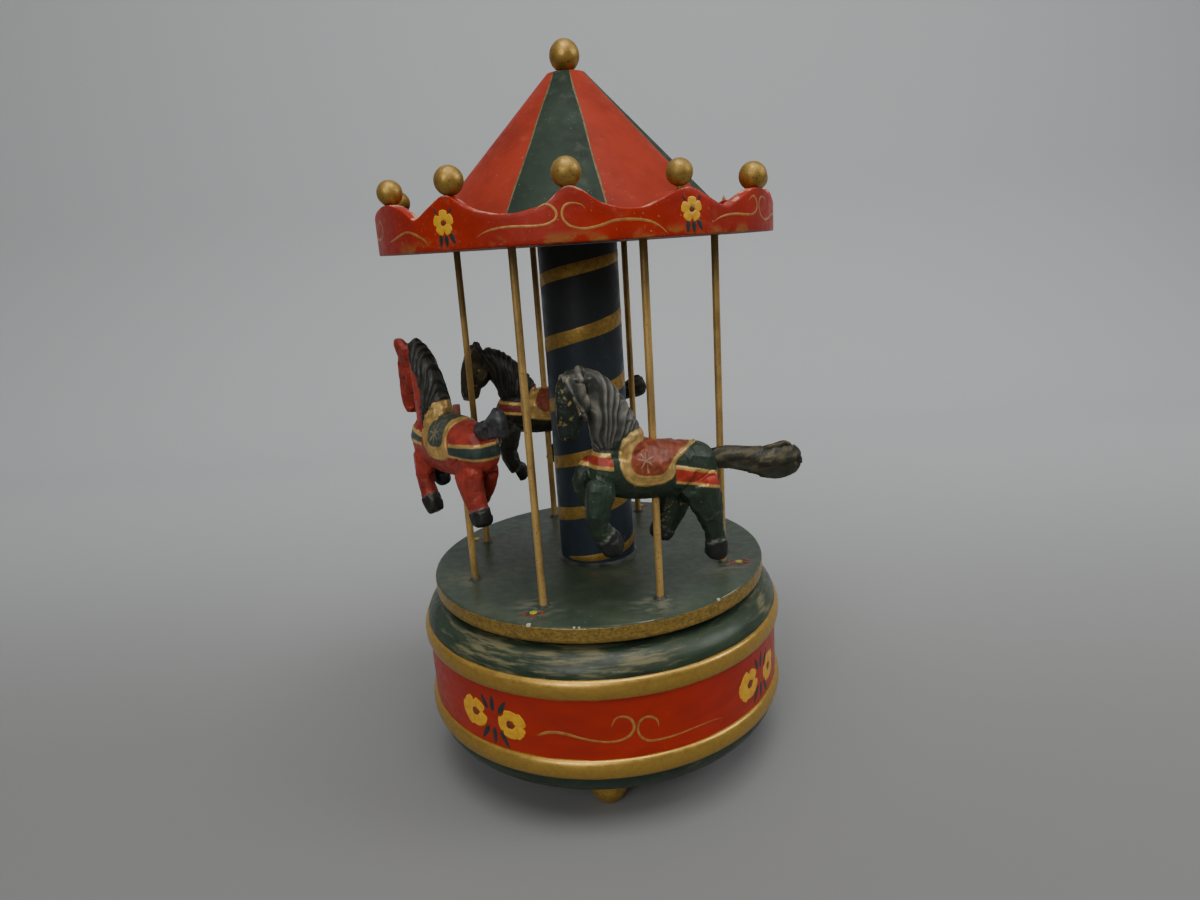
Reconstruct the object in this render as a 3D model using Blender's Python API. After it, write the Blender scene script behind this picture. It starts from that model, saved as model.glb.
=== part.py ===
"""A small wooden music-box carousel: a turned base on three feet, and above it a platform that turns
with its column, eight-pole ring, striped roof and scalloped rim, and three carved horses.

Blender metres, +Z up. The origin is on the floor under the carousel's axis. Angles round the axis are
counted from the front (-Y) towards the right (+X). One pole, one horse and one gilt bead are missing,
and the pole of the red horse is broken off above its withers.
"""
import math

import bmesh
import bpy
from mathutils import Matrix, Vector

MM = 0.001
GAP = 0.3 * MM

# Base: a turned housing on three pegs
FOOT_HEIGHT = 15.0 * MM
FOOT_SHAPE = [(8.4, 14.7), (8.3, 7.5), (6.9, 4.0), (5.6, 2.0), (4.4, 0.8), (3.0, 0.0)]  # radius, height
FOOT_CIRCLE = 56.5 * MM
FOOT_ANGLES = {"foot_front": -2, "foot_back_right": 118, "foot_back_left": 238}
DRUM_BOTTOM = FOOT_HEIGHT
BAND_RADIUS = 79.0 * MM
BEAD_RADIUS = 80.8 * MM
LOWER_BEAD_LEVEL = 30.3 * MM
UPPER_BEAD_LEVEL = 64.2 * MM
BEAD_HALF_HEIGHT = 4.1 * MM
UNDERSIDE_REACH = 14.0 * MM
SHOULDER_REACH = 14.0 * MM
DRUM_TOP = 78.4 * MM
BOARD_RADIUS = 42.0 * MM
BOARD_THICKNESS = 3.0 * MM
SPINDLE_RADIUS = 2.5 * MM
SPINDLE_BOTTOM = 68.0 * MM
SPINDLE_TOP = 84.0 * MM

# Turning part
PLATFORM_RADIUS = 73.9 * MM
PLATFORM_BOTTOM = 80.0 * MM
PLATFORM_TOP = 87.5 * MM
PLATFORM_TOP_ROUND = 0.9 * MM
PLATFORM_BOTTOM_ROUND = 1.8 * MM
COLUMN_RADIUS = 16.7 * MM
CANOPY_BOTTOM = 225.1 * MM
CANOPY_DISC_THICKNESS = 6.0 * MM
RIM_RADIUS = 80.0 * MM
RIM_WALL = 4.0 * MM

# The rim's sawn edge: angle, and height in mm over the canopy's lower edge. Front crests as measured,
# and the unseen ones behind like them
RIM_EDGE = [
    (-76.4, 13.5), (-63.5, 16.2), (-55.4, 16.4), (-48.7, 14.1), (-43.5, 11.0), (-38.3, 13.8), (-32.3, 16.9),
    (-26.7, 13.3), (-23.4, 11.7), (-18.6, 10.5), (-14.8, 10.2), (-11.1, 10.8), (-6.6, 12.3), (-3.6, 15.2),
    (-1.1, 16.7), (2.0, 15.2), (5.4, 12.1), (8.9, 10.4), (12.6, 9.7), (16.3, 9.9), (20.3, 11.6),
    (24.5, 13.8), (28.9, 14.7), (33.6, 12.3), (40.0, 9.2), (45.2, 11.4), (51.0, 13.8), (55.1, 14.7),
    (60.0, 14.3), (66.6, 12.9), (72.0, 11.2), (76.4, 10.9), (82.0, 12.6), (88.0, 15.6), (94.5, 16.5),
    (103.0, 16.3), (108.0, 14.6), (112.0, 14.0), (117.5, 14.6), (123.0, 12.4), (131.0, 9.8),
    (139.0, 12.6), (146.0, 16.4), (152.0, 13.2), (160.0, 9.8), (168.0, 12.4), (174.5, 16.4),
    (181.0, 12.8), (189.0, 9.8), (196.0, 12.8), (202.0, 16.4), (208.0, 13.0), (216.0, 9.8),
    (223.5, 13.0), (229.5, 16.4), (236.0, 13.2), (243.5, 10.0), (250.5, 13.0), (257.5, 16.4),
    (265.0, 13.2), (274.0, 10.6), (279.5, 11.6), (283.6, 13.5),
]
RIM_STEPS = 120
ROOF_SLOPE = math.radians(46.7)
ROOF_APEX = 298.5 * MM
ROOF_FLAT_RADIUS = 7.7 * MM
FINIAL_RADIUS = 6.0 * MM
FINIAL_HALF_HEIGHT = 6.3 * MM
BALL_CIRCLE = 77.0 * MM
PIN_RADIUS = 0.8 * MM
PIN_DEPTH = 3.0 * MM
BARE_PIN_HEIGHT = 3.0 * MM
BARE_PIN_ANGLE = 117.5

# Each bead: angle of its pin, radius, and height of its centre over the canopy's lower edge. The fourth
# bead is lost and only its pin is there
BALLS = {
    "rim_ball_01": (27.0, 4.5, 20.2), "rim_ball_02": (57.5, 5.1, 19.5), "rim_ball_03": (94.5, 4.75, 21.7),
    "rim_ball_05": (146.0, 4.75, 21.7), "rim_ball_06": (174.5, 4.75, 21.7),
    "rim_ball_07": (202.0, 4.75, 21.7), "rim_ball_08": (229.5, 4.75, 21.7),
    "rim_ball_09": (257.5, 4.75, 21.7), "rim_ball_10": (300.5, 4.65, 21.7),
    "rim_ball_11": (328.0, 5.1, 22.4), "rim_ball_12": (358.5, 4.85, 21.7),
}

# Poles, by the angle of each; the one at 113 degrees is missing
POLE_RADIUS = 1.5 * MM
POLE_CIRCLE = 58.0 * MM
SOCKET_DEPTH = 3.0 * MM
POLE_ANGLES = {
    "pole_1": -112.5,
    "pole_2_broken": -68.1,
    "pole_3": -23.4,
    "pole_4": 23.7,
    "pole_5": 68.4,
    "pole_6": 157.1,
    "pole_7": -158.2,
}
EMPTY_SOCKET = 113
BROKEN_POLE_TOP = 164.6 * MM

ROUND_SIDES = 72
COLUMN_SIDES = 40
BALL_SIDES = 12
POLE_SIDES = 12
HORSE_SIDES = 14


def clear_scene():
    for thing in list(bpy.data.objects):
        bpy.data.objects.remove(thing, do_unlink=True)


def paint(name, color, roughness=0.5, metallic=0.0):
    material = bpy.data.materials.new(name)
    material.use_nodes = True
    shader = material.node_tree.nodes["Principled BSDF"]
    shader.inputs["Base Color"].default_value = (*color, 1.0)
    shader.inputs["Roughness"].default_value = roughness
    shader.inputs["Metallic"].default_value = metallic
    return material


def add_object(name, bm, material, sharp_angle=35):
    """Turn a bmesh into an object with outward faces, shaded smooth up to the sharp angle."""
    bmesh.ops.recalc_face_normals(bm, faces=bm.faces)
    mesh = bpy.data.meshes.new(name)
    bm.to_mesh(mesh)
    bm.free()
    mesh.shade_smooth()
    mesh.set_sharp_from_angle(angle=math.radians(sharp_angle))
    mesh.materials.append(material)
    thing = bpy.data.objects.new(name, mesh)
    bpy.context.scene.collection.objects.link(thing)
    return thing


def polar(radius, degrees, height=0.0):
    angle = math.radians(degrees)
    return Vector((radius * math.sin(angle), -radius * math.cos(angle), height))


def arc(centre_r, centre_z, reach_r, reach_z, start, end, steps):
    """Points (r, z) on an ellipse's arc; 0 degrees is outwards and 90 degrees is up."""
    points = []
    for step in range(steps + 1):
        angle = math.radians(start + (end - start) * step / steps)
        points.append((centre_r + reach_r * math.cos(angle), centre_z + reach_z * math.sin(angle)))
    return points


def join_rings(bm, upper, lower):
    """Bridge two rings of vertices, either of which may be a single pole vertex."""
    sides = max(len(upper), len(lower))
    for i in range(sides):
        j = (i + 1) % sides
        corners = [upper[i % len(upper)], lower[i % len(lower)]]
        corners += [lower[j % len(lower)], upper[j % len(upper)]]
        bm.faces.new(list(dict.fromkeys(corners)))


def turned(name, profile, sides, material, at=(0, 0, 0)):
    """A solid of revolution from a profile of (r, z) points that runs from the top to the bottom."""
    bm = bmesh.new()
    rings = []
    for radius, height in profile:
        if radius < 1e-7:
            rings.append([bm.verts.new((0, 0, height))])
        else:
            rings.append([bm.verts.new(polar(radius, 360 * i / sides, height)) for i in range(sides)])
    for upper, lower in zip(rings, rings[1:]):
        join_rings(bm, upper, lower)
    thing = add_object(name, bm, material)
    thing.location = at
    return thing


def loft(name, stations, sides, material):
    """A rounded limb in the XZ plane. Each station: x, z, half depth, half width and sideways shift."""
    bm = bmesh.new()
    centres = [Vector((x, y, z)) * MM for x, z, depth, width, y in stations]
    rings = []
    for index, (x, z, depth, width, y) in enumerate(stations):
        before = centres[max(index - 1, 0)]
        after = centres[min(index + 1, len(centres) - 1)]
        along = (after - before)
        along.y = 0
        along.normalize()
        across = Vector((-along.z, 0, along.x))
        ring = []
        for i in range(sides):
            turn = 2 * math.pi * i / sides
            offset = across * (depth * MM * math.cos(turn)) + Vector((0, width * MM * math.sin(turn), 0))
            ring.append(bm.verts.new(centres[index] + offset))
        rings.append(ring)
    for upper, lower in zip(rings, rings[1:]):
        join_rings(bm, upper, lower)
    bm.faces.new(rings[0])
    bm.faces.new(rings[-1])
    return add_object(name, bm, material, sharp_angle=50)


def hide_as_tool(thing):
    thing.hide_render = True
    thing.display_type = "WIRE"


def boolean(thing, tool, operation):
    modifier = thing.modifiers.new(tool.name, "BOOLEAN")
    modifier.operation = operation
    modifier.object = tool
    modifier.solver = "EXACT"
    hide_as_tool(tool)


def rod_cutter(name, spots, radius, bottom, top, sides=12):
    """Upright round cutters at each spot, joined in one mesh; bottom and top count from the spot."""
    bm = bmesh.new()
    for spot in spots:
        centre = Matrix.Translation((spot[0], spot[1], spot[2] + (bottom + top) / 2))
        bmesh.ops.create_cone(bm, cap_ends=True, segments=sides, radius1=radius, radius2=radius,
                              depth=top - bottom, matrix=centre)
    return add_object(name, bm, WOOD)


clear_scene()
RED = paint("red_paint", (0.30, 0.022, 0.014), 0.42)
GREEN = paint("green_paint", (0.018, 0.040, 0.032), 0.45)
NAVY = paint("navy_paint", (0.012, 0.022, 0.038), 0.5)
GOLD = paint("gold_paint", (0.38, 0.20, 0.05), 0.38, 0.35)
BLACK = paint("black_paint", (0.010, 0.011, 0.012), 0.4)
WOOD = paint("bare_wood", (0.42, 0.27, 0.14), 0.7)
STEEL = paint("steel", (0.5, 0.5, 0.5), 0.35, 1.0)

# Base drum: flat top, rounded shoulder, two half-round beads on a band, rounded underside
shoulder_foot = UPPER_BEAD_LEVEL + BEAD_HALF_HEIGHT
underside_head = LOWER_BEAD_LEVEL - BEAD_HALF_HEIGHT
bead_reach = BEAD_RADIUS - BAND_RADIUS
drum_profile = [(0, DRUM_TOP)]
drum_profile += arc(BAND_RADIUS - SHOULDER_REACH, shoulder_foot,
                    SHOULDER_REACH, DRUM_TOP - shoulder_foot, 90, 0, 6)
drum_profile += arc(BAND_RADIUS, UPPER_BEAD_LEVEL, bead_reach, BEAD_HALF_HEIGHT, 67, -90, 5)
drum_profile += arc(BAND_RADIUS, LOWER_BEAD_LEVEL, bead_reach, BEAD_HALF_HEIGHT, 90, -67, 5)
drum_profile += arc(BAND_RADIUS - UNDERSIDE_REACH, underside_head,
                    UNDERSIDE_REACH, underside_head - DRUM_BOTTOM, 0, -90, 6)
recess_top = DRUM_BOTTOM + BOARD_THICKNESS + GAP
drum_profile += [(BOARD_RADIUS + GAP, DRUM_BOTTOM), (BOARD_RADIUS + GAP, recess_top), (0, recess_top)]
drum = turned("base_drum", drum_profile, ROUND_SIDES, RED)
spindle_bore = rod_cutter("spindle_bore", [(0, 0, 0)], SPINDLE_RADIUS + GAP, SPINDLE_BOTTOM - GAP,
                          DRUM_TOP + SPINDLE_RADIUS)
boolean(drum, spindle_bore, "DIFFERENCE")

turned("bottom_board", [(0, DRUM_BOTTOM + BOARD_THICKNESS), (BOARD_RADIUS, DRUM_BOTTOM + BOARD_THICKNESS),
                        (BOARD_RADIUS, DRUM_BOTTOM), (0, DRUM_BOTTOM)], 48, WOOD)

foot_profile = [(0, FOOT_HEIGHT - GAP)]
foot_profile += [(radius * MM, height * MM) for radius, height in FOOT_SHAPE] + [(0, 0)]
for name, angle in FOOT_ANGLES.items():
    turned(name, foot_profile, 20, GOLD, polar(FOOT_CIRCLE, angle))

turned("drive_spindle", [(0, SPINDLE_TOP), (SPINDLE_RADIUS, SPINDLE_TOP),
                         (SPINDLE_RADIUS, SPINDLE_BOTTOM), (0, SPINDLE_BOTTOM)], POLE_SIDES, STEEL)

# Platform with a socket for each pole, the missing one's too
platform_profile = [(0, PLATFORM_TOP)]
platform_profile += arc(PLATFORM_RADIUS - PLATFORM_TOP_ROUND, PLATFORM_TOP - PLATFORM_TOP_ROUND,
                        PLATFORM_TOP_ROUND, PLATFORM_TOP_ROUND, 90, 0, 2)
platform_profile += arc(PLATFORM_RADIUS - PLATFORM_BOTTOM_ROUND, PLATFORM_BOTTOM + PLATFORM_BOTTOM_ROUND,
                        PLATFORM_BOTTOM_ROUND, PLATFORM_BOTTOM_ROUND, 0, -90, 3)
platform_profile += [(0, PLATFORM_BOTTOM)]
platform = turned("platform", platform_profile, ROUND_SIDES, GREEN)
socket_spots = [polar(POLE_CIRCLE, angle) for angle in (*POLE_ANGLES.values(), EMPTY_SOCKET)]
platform_sockets = rod_cutter("platform_sockets", socket_spots, POLE_RADIUS + GAP,
                              PLATFORM_TOP - SOCKET_DEPTH, PLATFORM_TOP + SOCKET_DEPTH)
platform_bore = rod_cutter("platform_bore", [(0, 0, 0)], SPINDLE_RADIUS + GAP,
                           PLATFORM_BOTTOM - SOCKET_DEPTH, SPINDLE_TOP + GAP)
boolean(platform, platform_sockets, "DIFFERENCE")
boolean(platform, platform_bore, "DIFFERENCE")

turned("column", [(0, CANOPY_BOTTOM - GAP), (COLUMN_RADIUS, CANOPY_BOTTOM - GAP),
                  (COLUMN_RADIUS, PLATFORM_TOP + GAP), (0, PLATFORM_TOP + GAP)], COLUMN_SIDES, NAVY)

# Canopy: a disc, the scalloped rim around it, and the solid cone of the roof on it
disc_radius = RIM_RADIUS - RIM_WALL - GAP
disc_top = CANOPY_BOTTOM + CANOPY_DISC_THICKNESS
disc = turned("canopy_disc", [(0, disc_top), (disc_radius, disc_top),
                              (disc_radius, CANOPY_BOTTOM), (0, CANOPY_BOTTOM)], ROUND_SIDES, RED)
disc_sockets = rod_cutter("disc_sockets", socket_spots, POLE_RADIUS + GAP,
                          CANOPY_BOTTOM - SOCKET_DEPTH, CANOPY_BOTTOM + SOCKET_DEPTH)
boolean(disc, disc_sockets, "DIFFERENCE")


def rim_height(degrees):
    """Height of the sawn edge over the canopy's lower edge, read between its measured points."""
    degrees = (degrees - RIM_EDGE[0][0]) % 360 + RIM_EDGE[0][0]
    for (before, low), (after, high) in zip(RIM_EDGE, RIM_EDGE[1:]):
        if degrees <= after:
            return (low + (high - low) * (degrees - before) / (after - before)) * MM
    return RIM_EDGE[-1][1] * MM


def scalloped_rim():
    bm = bmesh.new()
    rings = []
    inner = RIM_RADIUS - RIM_WALL
    for step in range(RIM_STEPS):
        degrees = 360 * step / RIM_STEPS
        top = CANOPY_BOTTOM + rim_height(degrees)
        ring = [polar(RIM_RADIUS, degrees, CANOPY_BOTTOM), polar(RIM_RADIUS, degrees, top),
                polar(inner, degrees, top), polar(inner, degrees, CANOPY_BOTTOM)]
        rings.append([bm.verts.new(point) for point in ring])
    for index in range(RIM_STEPS):
        join_rings(bm, rings[index], rings[(index + 1) % RIM_STEPS])
    return add_object("canopy_rim", bm, RED)


def rim_spot(angle):
    """The place on the rim's sawn edge where a pin stands."""
    return polar(BALL_CIRCLE, angle, CANOPY_BOTTOM + rim_height(angle))


rim = scalloped_rim()
pin_spots = [rim_spot(angle) for angle in (*(ball[0] for ball in BALLS.values()), BARE_PIN_ANGLE)]
pin_holes = rod_cutter("pin_holes", pin_spots, PIN_RADIUS + GAP, -PIN_DEPTH - GAP, 3 * PIN_DEPTH, 8)
boolean(rim, pin_holes, "DIFFERENCE")


def bead(name, radius, half_height, centre, pin_bottom, at):
    """A gilt bead on its pin, turned in one piece."""
    profile = [(0, centre + half_height)]
    profile += arc(0, centre, radius, half_height, 65, -65, 6)
    sink = centre - half_height * 0.985
    profile += [(PIN_RADIUS, sink), (PIN_RADIUS, pin_bottom), (0, pin_bottom)]
    return turned(name, profile, BALL_SIDES, GOLD, at)


for name, (angle, radius, height) in BALLS.items():
    spot = rim_spot(angle)
    bead(name, radius * MM, radius * MM, CANOPY_BOTTOM + height * MM, spot.z - PIN_DEPTH,
         (spot.x, spot.y, 0))
bare_spot = rim_spot(BARE_PIN_ANGLE)
turned("bare_pin", [(0, bare_spot.z + BARE_PIN_HEIGHT), (PIN_RADIUS, bare_spot.z + BARE_PIN_HEIGHT / 2),
                    (PIN_RADIUS, bare_spot.z - PIN_DEPTH), (0, bare_spot.z - PIN_DEPTH)],
       8, WOOD, (bare_spot.x, bare_spot.y, 0))

roof_bottom = disc_top + GAP
roof_radius = (ROOF_APEX - roof_bottom) / math.tan(ROOF_SLOPE)
roof_top = ROOF_APEX - ROOF_FLAT_RADIUS * math.tan(ROOF_SLOPE)
roof = turned("roof_cone", [(0, roof_top), (ROOF_FLAT_RADIUS, roof_top), (roof_radius, roof_bottom),
                            (0, roof_bottom)], ROUND_SIDES, GREEN)
finial_hole = rod_cutter("finial_hole", [(0, 0, 0)], PIN_RADIUS + GAP, roof_top - PIN_DEPTH - GAP,
                         roof_top + PIN_DEPTH)
boolean(roof, finial_hole, "DIFFERENCE")
bead("finial_ball", FINIAL_RADIUS, FINIAL_HALF_HEIGHT, roof_top + GAP + FINIAL_HALF_HEIGHT,
     roof_top - PIN_DEPTH, (0, 0, 0))

# Poles: each stands in its sockets, but the broken one ends at the red horse's withers
for name, angle in POLE_ANGLES.items():
    pole_bottom = PLATFORM_TOP - SOCKET_DEPTH + GAP
    pole_top = BROKEN_POLE_TOP if name == "pole_2_broken" else CANOPY_BOTTOM + SOCKET_DEPTH - GAP
    pole = turned(name, [(0, pole_top), (POLE_RADIUS, pole_top), (POLE_RADIUS, pole_bottom),
                         (0, pole_bottom)], POLE_SIDES, GOLD, polar(POLE_CIRCLE, angle))

# Carved horses. Millimetres in each horse's own frame: x forward, y to its left, z up from its belly,
# with its pole on the z axis. A station is x, z, half depth, half width, sideways place. The heading is
# counted from +X towards +Y, and the head is turned at the poll towards the horse's left.
HORSES = {
    "green_horse": {
        "pole": "pole_4", "belly": 128.9, "heading": 204, "head_turn": 14, "paint": GREEN,
        "trunk": [
            (-26.3, 11.6, 3.5, 3.5, 0), (-24.6, 11.2, 7.3, 6.2, 0), (-19.5, 10.4, 9.8, 8.4, 0),
            (-10, 10.4, 11, 9, 0), (2, 12.2, 11.6, 9.3, 0), (12, 14, 11.8, 9.1, 0),
            (20, 15.8, 10.6, 8, 0), (25, 17.2, 7, 5.6, 0), (26.6, 17.8, 3.2, 3, 0),
        ],
        "neck": [
            (12.5, 17, 9.5, 7.4, 0), (14.6, 25, 10.2, 7, 0), (16.8, 33, 8.6, 6.2, 0),
            (19.4, 40, 7.3, 5.6, 0), (22.4, 45.8, 5.8, 5, 0), (26, 49.2, 4.4, 4, 0),
            (29, 51, 3.6, 3.4, 0),
        ],
        "head": [
            (29.5, 53, 3, 3, 0), (31.4, 49.5, 5.6, 4.6, 0), (33.2, 44.5, 6.2, 5, 0),
            (34.2, 39, 5.2, 4.4, 0), (34.9, 33.5, 4.4, 3.8, 0), (35.4, 29, 4.1, 3.7, 0),
            (35, 26, 2.8, 2.9, 0),
        ],
        "jaw": [
            (28.4, 45.5, 3.4, 3.8, 0), (29.2, 41, 4.6, 4.9, 0), (31, 37, 3.8, 4.3, 0),
            (33, 33, 2.4, 3.2, 0),
        ],
        "near_fore": [
            (23.2, 13, 6.6, 4.4, 4.2), (25.8, 7, 6, 4.4, 4.8), (27, 1, 5, 4, 5.2),
            (27.2, -4, 4.1, 3.6, 5.2), (25, -8.5, 3.7, 3.5, 5.2), (22.7, -11.5, 4.4, 3.9, 5.2),
            (22, -14.5, 3.6, 3.5, 5.2), (21.6, -17, 1.8, 2.4, 5.2),
        ],
        "far_fore": [
            (20, 16, 5, 4, -4.5), (26.5, 15.5, 4.8, 3.8, -5), (28.6, 11, 4, 3.6, -5),
            (26.4, 5, 3.5, 3.3, -5), (23.5, 0, 3.2, 3.2, -5), (21, -3.5, 3.6, 3.4, -5),
            (19.3, -6.5, 2.2, 2.6, -5),
        ],
        "near_hind": [
            (-15.5, 8, 9.6, 4.8, 4.2), (-18.2, 0, 8.4, 4.8, 4.8), (-20.8, -7, 6.4, 4.4, 5),
            (-22.2, -12.5, 5.2, 4, 5), (-23, -17, 4.3, 3.8, 5), (-23.7, -21.5, 4.9, 4.1, 5),
            (-23.8, -25, 4.9, 4.2, 5), (-23, -28.4, 3.6, 3.6, 5),
        ],
        "far_hind": [
            (-15, 8, 9, 4.6, -4.2), (-13.4, -1, 7.3, 4.6, -4.8), (-11.2, -8, 5.6, 4, -5),
            (-8.5, -12.5, 4.6, 3.8, -5), (-6.8, -15.5, 4.8, 3.9, -5), (-5, -19, 3.2, 3.4, -5),
        ],
        "tail": [
            (-23, 12.2, 2.8, 2.6, 0.5), (-27, 12.1, 4.1, 3.3, 1), (-34, 11.4, 4.3, 3.4, 2.4),
            (-43, 8.5, 5.4, 3.6, 4.4), (-48.6, 6.4, 6.4, 3.7, 6), (-53.4, 6.8, 7.8, 3.6, 7.2),
            (-57.6, 7, 7.8, 3.2, 8.2), (-60.8, 6.6, 5.6, 2.2, 8.9), (-62, 6.4, 2.6, 1.2, 9.1),
        ],
    },
    "red_horse": {
        "pole": "pole_2_broken", "belly": 134.5, "heading": 132, "head_turn": -6, "paint": RED,
        "trunk": [
            (-25, 14, 3.5, 3.5, 2.4), (-23, 13.8, 8, 6.4, 2.4), (-17, 13.6, 11.2, 8.8, 2.4),
            (-7, 13.4, 12.8, 9.4, 2.4), (4, 13.6, 13.2, 9.6, 2.4), (14, 13.8, 12.8, 9, 2.4),
            (21.5, 15, 11, 7.8, 2.4), (26, 16.5, 7, 5.4, 2.4), (27.6, 17, 3, 3, 2.4),
        ],
        "neck": [
            (13, 18, 9.8, 7.4, 2.4), (14, 26, 10.4, 7, 2.4), (15.4, 34, 9.2, 6.2, 2.4),
            (17.4, 42, 8.2, 5.6, 2.4), (20.4, 49, 6.4, 4.8, 2.4), (24, 53, 4.4, 3.8, 2.4),
            (26, 54, 3.6, 3.2, 2.4),
        ],
        "head": [
            (27, 54, 3, 3, 2.4), (28.6, 50, 5.4, 4.6, 2.4), (29.8, 44.5, 6.2, 5, 2.4),
            (31.2, 38, 6, 4.7, 2.4), (32.6, 32, 5.2, 4.2, 2.4), (32.6, 27, 4.4, 3.8, 2.4),
            (31.4, 23.6, 2.8, 2.9, 2.4),
        ],
        "jaw": [
            (25.5, 46, 3.4, 3.8, 2.4), (26.2, 41, 4.8, 4.9, 2.4), (28.2, 36, 4, 4.3, 2.4),
            (30.5, 31, 2.6, 3.2, 2.4),
        ],
        "near_fore": [
            (19, 12, 6.6, 4.2, 6.4), (18.8, 4, 5.4, 4, 7), (19.2, -3, 4.4, 3.8, 7.2),
            (17.2, -9, 4.2, 3.7, 7.2), (15.2, -12.5, 4.7, 4, 7.2),
            (13.9, -15.8, 3.6, 3.5, 7.2), (13.4, -18, 1.6, 2.2, 7.2),
        ],
        "far_fore": [
            (22, 12, 5, 4, -2), (25.5, 8, 4.4, 3.7, -2.4), (26, 3, 3.8, 3.4, -2.4),
            (23.8, -2, 3.8, 3.4, -2.4), (21.2, -5, 3.9, 3.5, -2.4), (19.4, -8, 2.4, 2.8, -2.4),
        ],
        "near_hind": [
            (-13, 10, 9.5, 4.8, 6.2), (-14.5, 2, 8, 4.8, 6.8), (-17, -4.5, 5.8, 4.4, 7),
            (-19.2, -9, 4.6, 4, 7), (-20.4, -12, 4.8, 4.1, 7), (-20.9, -16.2, 4.4, 4, 7),
        ],
        "far_hind": [
            (-13, 10, 9, 4.6, -1.8), (-12, 2, 7.5, 4.6, -2.4), (-10, -4, 5.4, 4, -2.6),
            (-7, -8, 4.4, 3.7, -2.6), (-4.5, -11.4, 3.9, 3.6, -2.6),
        ],
        "tail": [
            (-18, 22, 2.6, 2.6, 3), (-22, 22.8, 3.8, 3.3, 4.2), (-28, 24.2, 4, 3.4, 5.6),
            (-34, 26, 4.9, 3.6, 7), (-39, 28, 6.4, 3.6, 8.2), (-42.6, 29.4, 6.8, 3.2, 9),
            (-45.2, 30.2, 4.4, 2, 9.5),
        ],
    },
    "black_horse": {
        "pole": "pole_7", "belly": 132.7, "heading": 190, "head_turn": 4, "paint": BLACK,
        "trunk": [
            (-27, 13, 3.5, 3.5, 0), (-25, 13, 8, 6.2, 0), (-19, 12.6, 10.6, 8.6, 0),
            (-9, 12, 11.4, 9.2, 0), (2, 12.4, 11.6, 9.4, 0), (11, 12.8, 11.6, 9, 0),
            (18, 14, 10.4, 7.8, 0), (22.2, 15.2, 6.5, 5.4, 0), (23.7, 16, 3, 3, 0),
        ],
        "neck": [
            (11, 16, 9.5, 7.4, 0), (13.4, 24, 9, 6.6, 0), (16.8, 31, 7.8, 5.8, 0),
            (21.4, 37, 7, 5.2, 0), (26.4, 41, 5.6, 4.6, 0), (30.5, 43.5, 4.4, 4, 0),
        ],
        "head": [
            (32.3, 48.5, 2.6, 2.8, 0), (32.8, 45, 4.6, 4.2, 0), (33.6, 39, 6.2, 5, 0),
            (35, 33, 6, 4.6, 0), (36.4, 27.5, 5, 4.1, 0), (36.8, 23.5, 4.9, 4, 0),
            (36.6, 20.8, 3.8, 3.2, 0),
        ],
        "jaw": [
            (28.8, 41, 3.8, 4, 0), (29.2, 36, 5, 4.9, 0), (31, 31, 4.4, 4.3, 0),
            (33.6, 27, 3, 3.3, 0),
        ],
        "near_fore": [
            (18, 9, 6, 4.4, 4.2), (19.6, 1, 5.2, 4.2, 5), (20.2, -6, 4.3, 3.8, 5.2),
            (18.6, -12, 3.8, 3.5, 5.2), (16.4, -16.5, 4.4, 3.8, 5.2),
            (14.4, -21.5, 2.4, 3, 5.2),
        ],
        "far_fore": [
            (18, 12, 5, 4, -4.5), (22, 8, 4.2, 3.6, -5), (23, 1, 3.5, 3.2, -5),
            (21.5, -5, 3.2, 3, -5), (19.5, -9, 3.4, 3.2, -5), (18, -12.4, 2.2, 2.6, -5),
        ],
        "near_hind": [
            (-16, 9, 9.5, 4.8, 4.2), (-18, 1, 8, 4.6, 4.8), (-20, -7, 5.6, 4.2, 5),
            (-21, -13, 4.4, 3.9, 5), (-21.5, -18, 4.6, 4, 5), (-21.5, -22.6, 4, 3.8, 5),
        ],
        "far_hind": [
            (-15, 8, 9, 4.6, -4.2), (-13, 0, 7, 4.6, -4.8), (-9.5, -6, 5, 4, -5),
            (-5.5, -10, 4.2, 3.7, -5), (-2.5, -13, 3.8, 3.6, -5), (0, -15.5, 2.6, 2.8, -5),
        ],
        "tail": [
            (-24, 14, 2.8, 2.6, 0.5), (-28, 14.5, 4.1, 3.3, 0), (-35, 16, 4.3, 3.4, 0),
            (-43, 18.5, 5.4, 3.6, 0), (-49, 20.5, 6.4, 3.6, 0), (-52.6, 21.6, 4.6, 2.4, 0),
        ],
    },
}
LIMB_SIDES = {
    "neck": 12, "head": 10, "jaw": 10,
    "near_fore": 8, "far_fore": 8, "near_hind": 8, "far_hind": 8,
}
EAR_HEIGHT = 6.2
EAR_LEAN = 3.7
TAIL_SEAT_STATIONS = 3


def ear_stations(head, side):
    poll_x, poll_z, _, _, middle = head[1]
    return [
        (poll_x - 3.0, poll_z - 2.0, 2.2, 1.5, middle + side * 2.0),
        (poll_x - 2.0, poll_z + EAR_HEIGHT / 2, 2.0, 1.4, middle + side * 3.0),
        (poll_x - 1.0, poll_z + EAR_HEIGHT, 0.6, 0.6, middle + side * EAR_LEAN),
    ]


def turn_at_poll(thing, head, degrees):
    poll = Vector((head[0][0], head[0][4], 0)) * MM
    thing.data.transform(Matrix.Translation(poll) @ Matrix.Rotation(math.radians(degrees), 4, "Z")
                         @ Matrix.Translation(-poll))


def place_on_pole(thing, horse):
    spot = polar(POLE_CIRCLE, POLE_ANGLES[horse["pole"]], horse["belly"] * MM)
    thing.matrix_world = Matrix.Translation(spot) @ Matrix.Rotation(math.radians(horse["heading"]), 4, "Z")


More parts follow.
